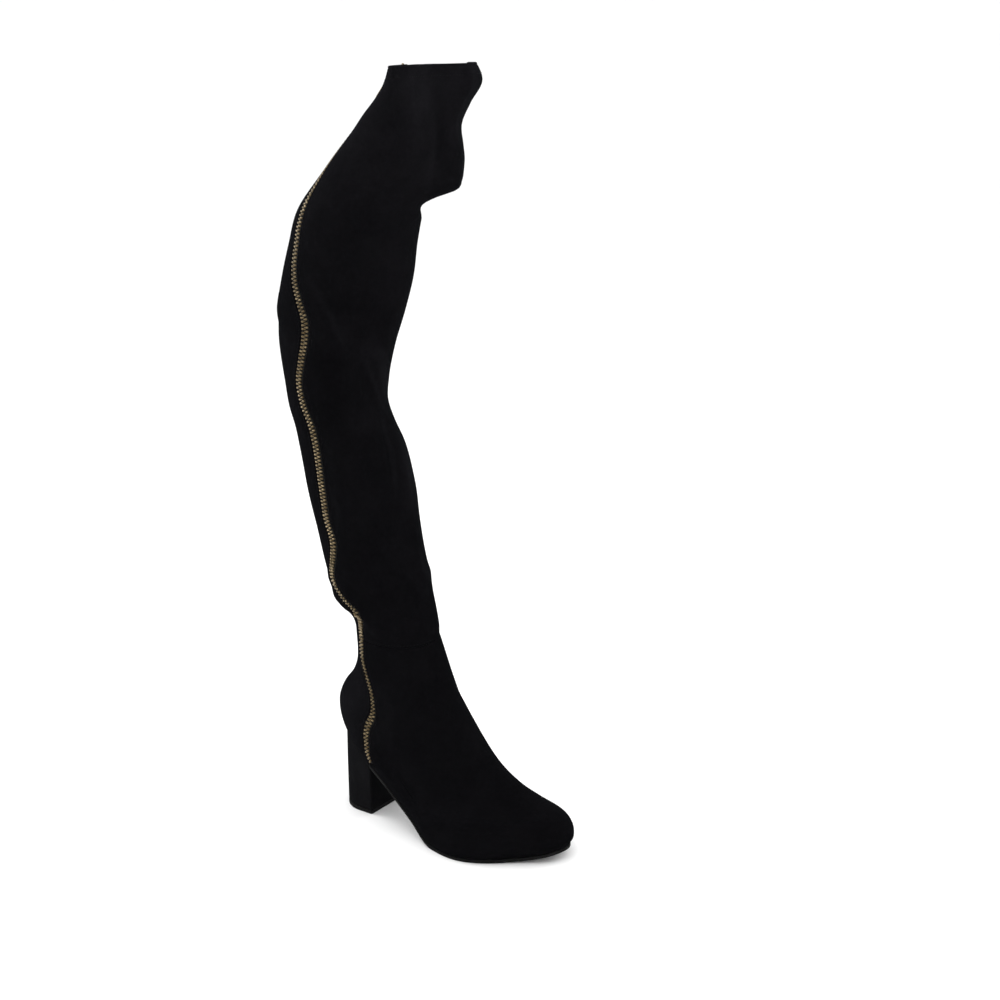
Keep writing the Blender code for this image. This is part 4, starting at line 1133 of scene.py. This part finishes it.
# Stations along a stitch: (share of its length, radius, lift)
STITCH = ((-0.5, 0.06, -0.34), (-0.42, 0.20, -0.12), (-0.2, THREAD, 0.02), (0.2, THREAD, 0.02),
          (0.42, 0.20, -0.12), (0.5, 0.06, -0.34))
stitch_bar = bar_template(np.array(STITCH) * (STITCH_LENGTH, 1, 1), 6)


def stitch_rows(name, rows, finish):
    """One joined piece of all the stitches along some lines of (points, normals)."""
    piece = joined(name, [
        repeat(*stitch_bar, *run_frames(points, normals, STITCH_PITCH, STITCH_PITCH / 2))
        for points, normals in rows], finish)
    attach(piece, "root")


def thread_finish(name, colour):
    """Twisted thread: fine slanting strands and a soft gloss."""
    made, shader, add, where = paint(name)
    strands = waves(add, where, 0.25 * MM, "DIAGONAL", Distortion=2.0)
    lighter = tuple(1.8 * part for part in colour)
    feed(shader, {"Base Color": blend_of(add, strands, colour, lighter, 0.2, 0.8),
                  "Roughness": 0.8, "Normal": emboss(add, strands, 0.5, 0.05),
                  "Specular IOR Level": 0.05})
    return made


black_thread = thread_finish("black_thread", (0.0024, 0.0024, 0.0028))
STITCH_LIFT, HEM_STITCH_LIFT = 0.12 - GROOVE, -0.26   # stitches lie in their grooves

slit_rows = []
foot_run = np.linspace(ZIP_FOOT_END, TOP_RING - 0.05, 160)
for surface, relief, edges, run in (
        (foot, foot_relief, foot_edges, foot_run),
        (shaft, shaft_relief, shaft_edges, np.linspace(ANKLE + 1, COLLAR - 2, 700))):
    lines, speeds = edges(run)
    for line, way in ((1, -1), (2, 1), (4, -1), (5, 1)):
        part = slice(None)
        if surface is shaft and line > 2:
            part = run < INNER_ZIP_TOP
        angles = lines[line] + way * STITCH_INSET / speeds[line]
        slit_rows.append(surface_line(surface, relief, angles[part], run[part], STITCH_LIFT))
stitch_rows("zip_topstitch", slit_rows, black_thread)


def shaft_ring(level, gaps, lift):
    """Lines round the shaft at one level, one for each cell between its lines but the gaps.
    They end 1 mm off a cut edge, and further off the front line."""
    lines, speeds = shaft_edges(np.array([level]))
    rows = []
    for i in sorted(set(range(7)) - set(gaps)):
        inset = 1.0 / speeds[i, 0]
        angles = np.linspace(lines[i, 0] + inset, lines[i + 1, 0] - inset, 160)
        rows.append(surface_line(shaft, shaft_relief, angles, np.full(160, level), lift))
    return rows


stitch_rows("ankle_topstitch", shaft_ring(ANKLE + STITCH_INSET, (1, 4), STITCH_LIFT),
            black_thread)
stitch_rows("collar_hem_stitch", shaft_ring(COLLAR - HEM, (1, 6), HEM_STITCH_LIFT), black_thread)
panel_run = np.linspace(PANEL_TIP + 2, COLLAR - 2, 200)
panel_lines, panel_speeds = shaft_edges(panel_run)
stitch_rows("panel_seam_stitch", [
    surface_line(shaft, shaft_relief, panel_lines[line] + way * STITCH_INSET / panel_speeds[line],
                 panel_run, STITCH_LIFT) for line, way in ((0, 1), (6, -1))], black_thread)

# ---- Outer zip -------------------------------------------------------------------------------
# A metal zip runs the whole height of the outer side as trim: woven tape sewn behind the slit,
# as one black bar, pale brass teeth clamped on it, and a slider near the collar with its tab.

TEETH_PITCH = 3.3
TEETH_HALF = 3.25          # from the chain's middle to a tooth's heel
TOOTH_SHARP_EDGE = math.radians(35)
CHAIN_START = 2.0          # first tooth from the tape's lower end
SLIDER_LEVEL = 654         # closed, just under the collar
TAPE_DEPTH = 1.0
TAPE_MARGIN = 0.75         # tape left beside a tooth


def zip_path(first, top_level):
    """Middle line of a slit from the foot to a level, with its normals and the half-width left
    square to the line, and the line's sideways direction."""
    parts = []
    for surface, relief, edges, run in (
            (foot, foot_relief, foot_edges, np.linspace(ZIP_FOOT_END + 0.05, TOP_RING, 240)),
            (shaft, shaft_relief, shaft_edges, np.linspace(ANKLE, top_level, 900))):
        lines, _ = edges(run)
        middle = (lines[first] + lines[first + 1]) / 2
        parts.append((*surface_line(surface, relief, middle, run, 0.0),
                      surface(lines[first + 1], run) - surface(lines[first], run)))
    run_parts = [np.concatenate(part) for part in zip(*parts)]
    lengths = run_lengths(run_parts[0])
    even = np.linspace(0, lengths[-1], int(lengths[-1]))
    middles, normals, spans = (sample(even, lengths, part) for part in run_parts)
    along = unit(np.gradient(middles, axis=0))
    side = unit(np.cross(along, normals))
    half = np.abs((spans * side).sum(axis=1)) / 2 - GAP
    return middles, np.cross(side, along), side, half


def tape(name, path, profile, finish):
    """Bar along a zip's middle line: profile rows are (share of the half-width, height)."""
    middles, normals, sides, half = path
    rings = np.array([middles + share * half[:, None] * sides + height * normals
                      for share, height in profile]).transpose(1, 0, 2)
    start, end = rings[:1].mean(axis=1, keepdims=True), rings[-1:].mean(axis=1, keepdims=True)
    rings = np.concatenate((np.broadcast_to(start, rings[:1].shape), rings,
                            np.broadcast_to(end, rings[:1].shape)))
    piece = loft(name, rings, finish)
    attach(piece, "root")
    return piece


TAPE_PROFILE = ((-1, -TAPE_DEPTH - 0.5), (-1, -TAPE_DEPTH), (-0.5, -TAPE_DEPTH + 0.1),
                (0.5, -TAPE_DEPTH + 0.1), (1, -TAPE_DEPTH), (1, -TAPE_DEPTH - 0.5))


def tape_finish(name):
    """Woven tape: a slanting twill as one band of waves."""
    made, shader, add, where = paint(name)
    twill = waves(add, where, 0.6 * MM, "DIAGONAL", Distortion=1.0)
    feed(shader, {"Base Color": blend_of(add, twill, (0.003, 0.003, 0.002),
                                         (0.008, 0.0075, 0.006)),
                  "Roughness": 0.85, "Normal": emboss(add, twill, 0.6, 0.12),
                  "Specular IOR Level": 0.2})
    return made


black_tape = tape_finish("black_zip_tape")
outer_path = zip_path(1, COLLAR)
outer_tape = tape("outer_zip_tape", outer_path, TAPE_PROFILE, black_tape)
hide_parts("outer_zip_chain")

# Stations along a tooth, from its heel on the tape over the middle: (x, half-length, top)
TOOTH = ((-3.25, 0.30, -0.10), (-3.0, 0.60, 0.30), (-2.3, 0.74, 0.56), (-1.4, 0.70, 0.62),
         (-0.7, 0.52, 0.54), (-0.2, 0.42, 0.44), (0.3, 0.36, 0.30), (0.6, 0.20, 0.0))
TOOTH_FOOT = -TAPE_DEPTH


def both_sides(sections, caps, clockwise):
    """Closed body through sections (section, point, xyz) and its mirror image for the other
    tape, each as points and quads; caps are the quads of its flat ends."""
    count, sides = sections.shape[:2]
    quads = np.concatenate((ring_quads(count, sides), caps[:, ::-1], caps + (count - 1) * sides))
    points = sections.reshape(-1, 3)
    turned = quads[:, ::-1]
    return ((points, turned if clockwise else quads),
            (points * (-1, 1, 1), quads if clockwise else turned))


def tooth_templates():
    """Teeth of both tapes: a six-sided section at each station."""
    sections = np.array([((x, -half, TOOTH_FOOT), (x, -half, top - 0.28), (x, -0.55 * half, top),
                          (x, 0.55 * half, top), (x, half, top - 0.28), (x, half, TOOTH_FOOT))
                         for x, half, top in TOOTH])
    return both_sides(sections, np.array(((0, 1, 2, 5), (2, 3, 4, 5))), True)


def chain_of_teeth(name, path, pitch, templates, ends, finish):
    """Teeth up both tapes, half a pitch apart, drawn in where the slit narrows."""
    middles, normals, sides, half = path
    lengths, parts = run_lengths(middles), []
    for (points, quads), offset in zip(templates, (0.0, pitch / 2)):
        places, side, along, normal = run_frames(middles, normals, pitch, ends + offset)
        room = np.interp(ends + offset + pitch * np.arange(len(places)), lengths, half)
        narrow = np.clip((room - TAPE_MARGIN) / TEETH_HALF, 0.5, 1)[:, None]
        parts.append(repeat(points, quads, places, side * narrow, along, normal))
    piece = joined(name, parts, finish)
    piece.data.set_sharp_from_angle(angle=TOOTH_SHARP_EDGE)
    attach(piece, "root")


def brass_finish(name, bright, dull, roughness):
    """Aged brass: patches of tarnish that dull it, and a fine bump."""
    made, shader, add, where = paint(name)
    tarnish = noise(add, where, 3.5, 4.0, Distortion=0.8)
    feed(shader, {"Base Color": blend_of(add, tarnish, dull, bright, 0.3, 0.6), "Metallic": 1.0,
                  "Roughness": stretched(add, tarnish, roughness + 0.14, roughness - 0.06,
                                         0.3, 0.7),
                  "Normal": emboss(add, noise(add, where, 0.5, 3.0), 0.3, 0.04)})
    return made


brass = brass_finish("pale_brass", (0.245, 0.188, 0.108), (0.066, 0.045, 0.019), 0.28)
chain_of_teeth("outer_zip_teeth", outer_path, TEETH_PITCH, tooth_templates(), CHAIN_START, brass)

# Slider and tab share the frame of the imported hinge: X down the zip, Y along the pin, Z out
SLIDER_WIDTH, SLIDER_LENGTH, SLIDER_THICKNESS = 8.6, 11.0, 2.4
EAR_INSIDE, EAR_THICKNESS = 2.6, 1.2
PIN_RADIUS, PIN_HEIGHT = 0.8, 2.2
TAB_HALF, TAB_THICKNESS, TAB_LENGTH = 2.25, 1.6, 25.0
TAB_RING, TAB_HOLE = 1.9, 1.15              # radii of the tab's eye
RIM_RADIUS, RIM_SHARE = 0.22, (0.93, 0.68)  # rim on the tab, at a share of its outline
TO_MIDDLE = 99.0           # inset that shrinks a plate's ring to its middle


def hinge_frames(joint_name, tab_node):
    """Frame of the pin with the tab hanging from it, and the slider's frame under it. The tab
    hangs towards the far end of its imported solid; the slider faces the boot's own normal."""
    joint = next(j for j in frame["record"]["behaviour"]["joints"] if j["name"] == joint_name)
    pin = np.array(joint["pos_m"]) / MM - BOOT_PLACE
    side = -np.array(joint["axis"], float)
    solid = np.array([v.co for v in frame["nodes"][tab_node].data.vertices]) / MM - BOOT_PLACE
    away = np.linalg.norm(solid - pin, axis=1)
    hang = solid[away > away.max() - 0.6].mean(axis=0) - pin
    hang = unit(hang - side * hang.dot(side))
    return pin, np.stack((hang, side, np.cross(hang, side)))


def slider_axes(line, level, side):
    """The slider's own down and out directions, on the shaft at its level."""
    lines, _ = shaft_edges(np.array([float(level)]))
    normal = outward(shaft, (lines[line, 0] + lines[line + 1, 0]) / 2, float(level))
    down = np.cross(side, normal)
    return np.stack((down, side, normal))


def placed(name, pieces, origin, axes, finish, body):
    """Joins closed bodies of (rings, whether the last meets the first), in a frame's own
    millimetres, into one piece."""
    piece = joined(name, [(origin + rings.reshape(-1, 3) @ axes,
                           ring_quads(*rings.shape[:2], around)) for rings, around in pieces],
                   finish)
    close_up(piece)
    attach(piece, body)
    return piece


def plate(outline, low, high, bevel):
    """Rings of a plate over a closed outline (point, xy), with bevelled edges."""
    middle = outline.mean(axis=0)
    out = outline - middle
    reach = np.linalg.norm(out, axis=1, keepdims=True)
    rings = []
    for inset, height in ((TO_MIDDLE, low), (bevel, low), (0.3 * bevel, low + 0.3 * bevel),
                          (0, low + bevel), (0, high - bevel), (0.3 * bevel, high - 0.3 * bevel),
                          (bevel, high), (TO_MIDDLE, high)):
        at = middle + out * np.maximum(1 - inset / reach, 0)
        rings.append(np.column_stack((at, np.full(len(at), height))))
    return np.array(rings)


def slider_outline():
    """Shield: wide shoulders on top and a narrower waist below, from a superellipse."""
    turn = np.linspace(0, 2 * np.pi, 64, endpoint=False)
    x = SLIDER_LENGTH / 2 * np.sign(np.cos(turn)) * np.abs(np.cos(turn)) ** 0.7
    y = SLIDER_WIDTH / 2 * np.sign(np.sin(turn)) * np.abs(np.sin(turn)) ** 0.7
    return np.column_stack((x, y * (1 - 0.26 * ease(-4, 5, x))))


def ear(low_y):
    """Rounded lug of the slider: a half disc on a straight foot, bevelled, along Y."""
    turn = np.linspace(0, np.pi, 15)
    arch = np.column_stack((-2.2 * np.cos(turn), PIN_HEIGHT + 1.5 * np.sin(turn)))
    foot_line = np.column_stack((np.linspace(2.2, -2.2, 9)[1:-1], np.full(7, -0.6)))
    rings = plate(np.concatenate((arch, foot_line)), low_y, low_y + EAR_THICKNESS, 0.25)
    return rings[..., (0, 2, 1)] + (0, 0, SLIDER_THICKNESS)


def rod(radius, half, axis_z, bevel):
    """Round pin along Y with bevelled ends."""
    turn = np.linspace(0, 2 * np.pi, 24, endpoint=False)
    rings = [np.column_stack((r * np.cos(turn), np.full(24, y), axis_z + r * np.sin(turn)))
             for r, y in ((0, -half), (radius - bevel, -half), (radius, -half + bevel),
                          (radius, half - bevel), (radius - bevel, half), (0, half))]
    return np.array(rings)


def eye():
    """Ring of the tab round the pin: a rounded rectangle swept round the hinge's axis."""
    middle, depth = (TAB_RING + TAB_HOLE) / 2, (TAB_RING - TAB_HOLE) / 2
    turn = np.linspace(0, 2 * np.pi, 28, endpoint=False)
    lap = np.linspace(0, 2 * np.pi, 16, endpoint=False)
    radius = middle + depth * np.sign(np.cos(lap)) * np.abs(np.cos(lap)) ** 0.5
    y = TAB_HALF * np.sign(np.sin(lap)) * np.abs(np.sin(lap)) ** 0.25
    return np.stack((np.outer(np.cos(turn), radius), np.broadcast_to(y, (28, 16)),
                     np.outer(np.sin(turn), radius)), axis=-1)


def blade_outline():
    """Long tab, narrow at the eye and rounded at its wider lower end."""
    round_start = TAB_LENGTH - TAB_HALF
    x = np.concatenate((np.linspace(1.5, round_start, 24),
                        round_start + TAB_HALF * np.sin(np.linspace(0.12, np.pi / 2, 10))))
    straight = TAB_HALF * (0.72 + 0.28 * ease(2, 18, x))
    rounded = TAB_HALF * np.sqrt(np.maximum(1 - ((x - round_start) / TAB_HALF) ** 2, 0))
    half = np.where(x > round_start, rounded, straight)
    return np.concatenate((np.column_stack((x, half)), np.column_stack((x, -half))[-2::-1]))


def raised_rim():
    """Rim along the tab's face, as a thin closed tube a little inside its outline."""
    outline = blade_outline()
    middle = np.array((TAB_LENGTH / 2 + 1, 0.0))
    inner = middle + (outline - middle) * RIM_SHARE
    lap = np.linspace(0, 2 * np.pi, 8, endpoint=False)
    path = np.column_stack((inner, np.full(len(inner), TAB_THICKNESS / 2)))
    along = np.roll(path, -1, axis=0) - np.roll(path, 1, axis=0)
    side = np.column_stack((-along[:, 1], along[:, 0], 0 * along[:, 0]))
    side = side / np.maximum(np.linalg.norm(side, axis=1, keepdims=True), 1e-6)
    return (path[:, None] + RIM_RADIUS * (np.cos(lap)[:, None] * side[:, None]
                                    + np.sin(lap)[:, None] * np.array((0, 0, 1.0))))


def zip_pull(zip_name, body, joint_name, line, level, finish):
    """A slider with its two lugs and pin, and the tab whose eye hangs on the pin."""
    pin, tab_axes = hinge_frames(joint_name, zip_name + "_pull_tab")
    axes = slider_axes(line, level, tab_axes[1])
    base = pin - axes[2] * (SLIDER_THICKNESS + PIN_HEIGHT)
    slider = placed(zip_name + "_slider_body", [
        (plate(slider_outline(), 0.0, SLIDER_THICKNESS, 0.5), False),
        (ear(EAR_INSIDE), False), (ear(-EAR_INSIDE - EAR_THICKNESS), False),
        (rod(PIN_RADIUS, EAR_INSIDE + EAR_THICKNESS + 0.2, SLIDER_THICKNESS + PIN_HEIGHT, 0.2),
         False)], base, axes, finish, "root")
    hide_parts(zip_name + "_slider")
    tab = placed(zip_name + "_pull_tab_blade", [
        (eye(), True),
        (plate(blade_outline(), -TAB_THICKNESS / 2, TAB_THICKNESS / 2, 0.3), False),
        (raised_rim(), True)], pin, tab_axes, finish, body)
    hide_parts(zip_name + "_pull_tab")


zip_pull("outer_zip", "outer_pull", "outer_pull_lift", 1, SLIDER_LEVEL, brass)

# ---- Inner zip -------------------------------------------------------------------------------
# A black nylon coil zip closes the inner side up to mid-calf, so that the foot can go in. Its
# coil is sewn on black tape behind the slit, and its slider and tab are black metal.

INNER_SLIDER_LEVEL = 392   # closed, just under the zip's end
COIL_PITCH, COIL_SIDES = 1.5, 8
# Stations along one turn, as a tooth's
COIL = ((-2.1, 0.20, -0.1), (-1.8, 0.42, 0.22), (-1.0, 0.46, 0.36), (0.2, 0.46, 0.36),
        (0.9, 0.50, 0.26), (1.15, 0.28, -0.1))


def coil_templates():
    """Turns of the coil on both tapes: a bar of nylon across the edge, round in section."""
    turn = np.linspace(0, 2 * np.pi, COIL_SIDES, endpoint=False)
    sections = np.array([np.column_stack((np.full(COIL_SIDES, x), half * np.cos(turn),
                                          top - 0.5 + 0.5 * np.sin(turn)))
                         for x, half, top in COIL])
    return both_sides(sections, np.array(((0, 1, 2, 3), (0, 3, 4, 7), (4, 5, 6, 7))), False)


def nylon_finish(name, colour):
    """Moulded nylon: even black with a slight mottle in its gloss."""
    made, shader, add, where = paint(name)
    mottle = noise(add, where, 2, 3.0)
    feed(shader, {"Base Color": blend_of(add, mottle, colour, tuple(1.6 * c for c in colour)),
                  "Roughness": stretched(add, mottle, 0.5, 0.75), "Specular IOR Level": 0.04})
    return made


inner_path = zip_path(4, INNER_ZIP_TOP - 0.6)
inner_tape = tape("inner_zip_tape", inner_path, TAPE_PROFILE, black_tape)
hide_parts("inner_zip_chain")
chain_of_teeth("inner_zip_coil", inner_path, COIL_PITCH, coil_templates(), CHAIN_START,
               nylon_finish("black_nylon", (0.004, 0.004, 0.004)))
black_metal = brass_finish("black_metal", (0.030, 0.030, 0.030), (0.014, 0.014, 0.014), 0.4)
zip_pull("inner_zip", "inner_pull", "inner_pull_lift", 4, INNER_SLIDER_LEVEL, black_metal)

# ---- Studio ----------------------------------------------------------------------------------
# A pale floor that rises all round into a plain backdrop, soft white light from everywhere,
# large lights from above and from either side, and the camera at the collar's height.

FLOOR_FLAT, FLOOR_REACH, FLOOR_RISE = 4.0, 9.0, 5.0     # metres, as the lights and camera
WORLD_LIGHT = 1.06
BOOT_MIDDLE = (0.0, 0.0, 0.35)
turns = np.linspace(0, 2 * np.pi, 97)[:-1]
radii = np.array((0.0, 0.4, 1.0, 2.0, 3.5, 5.0, 6.0, 6.8, 7.5, 8.1, 8.6, FLOOR_REACH))
lifted = FLOOR_RISE * np.clip((radii - FLOOR_FLAT) / (FLOOR_REACH - FLOOR_FLAT), 0, 1) ** 2.4
floor_rings = np.stack((np.outer(radii, np.cos(turns)), np.outer(radii, np.sin(turns)),
                        np.repeat(lifted[:, None], len(turns), axis=1)), axis=-1) / MM
floor_quads = ring_quads(len(radii), len(turns))[:, TURNED_OVER]
paper, paper_shader, *_ = paint("white_paper")
feed(paper_shader, {"Base Color": (0.97, 0.97, 0.97, 1), "Roughness": 0.9,
                    "Specular IOR Level": 0.1})
floor = make_mesh("studio_floor", floor_rings.reshape(-1, 3) - BOOT_PLACE, [floor_quads], paper)

world = bpy.data.worlds.new("studio_world")
world.use_nodes = True
feed(world.node_tree.nodes["Background"], {"Color": (1, 1, 1, 1), "Strength": WORLD_LIGHT})
bpy.context.scene.view_settings.view_transform = "Standard"
bpy.context.scene.world = world

for name, place, size, power in (("top_light", (0.5, -0.5, 2.2), 1.4, 14),
                                 ("left_light", (-1.80, -0.60, 1.1), 1.2, 20),
                                 ("right_light", (1.10, 1.55, 1.1), 1.2, 13)):
    light_data = bpy.data.lights.new(name, "AREA")
    light_data.shape, light_data.size, light_data.energy = "SQUARE", size, power
    light = bpy.data.objects.new(name, light_data)
    bpy.context.scene.collection.objects.link(light)
    turned = (Vector(BOOT_MIDDLE) - Vector(place)).to_track_quat("-Z", "Y").to_matrix()
    light.matrix_world = Matrix.Translation(place) @ turned.to_4x4()

CAMERA_PLACE = (0.8478, -1.0265, 0.6884)
CAMERA_HEADING = (-0.5952, 0.8036)          # level direction of view
CAMERA_PITCH, CAMERA_ROLL = 15.72, 1.276    # degrees down, and clockwise
CAMERA_LENS, CAMERA_SHIFT = 58.19, (-0.0117, -0.0146)
forward = Vector((*CAMERA_HEADING, 0)).normalized()
level_right = Vector((forward.y, -forward.x, 0))
pitch, roll = math.radians(CAMERA_PITCH), math.radians(CAMERA_ROLL)
view = forward * math.cos(pitch) - Vector((0, 0, math.sin(pitch)))
level_up = level_right.cross(view)
right = level_right * math.cos(roll) - level_up * math.sin(roll)
up = right.cross(view)
camera_data = bpy.data.cameras.new("camera")
camera_data.sensor_width = 36.0
camera_data.lens = CAMERA_LENS
camera_data.shift_x, camera_data.shift_y = CAMERA_SHIFT
camera = bpy.data.objects.new("camera", camera_data)
bpy.context.scene.collection.objects.link(camera)
facing = Matrix((right, up, -view)).transposed().to_4x4()
camera.matrix_world = Matrix.Translation(CAMERA_PLACE) @ facing
bpy.context.scene.camera = camera
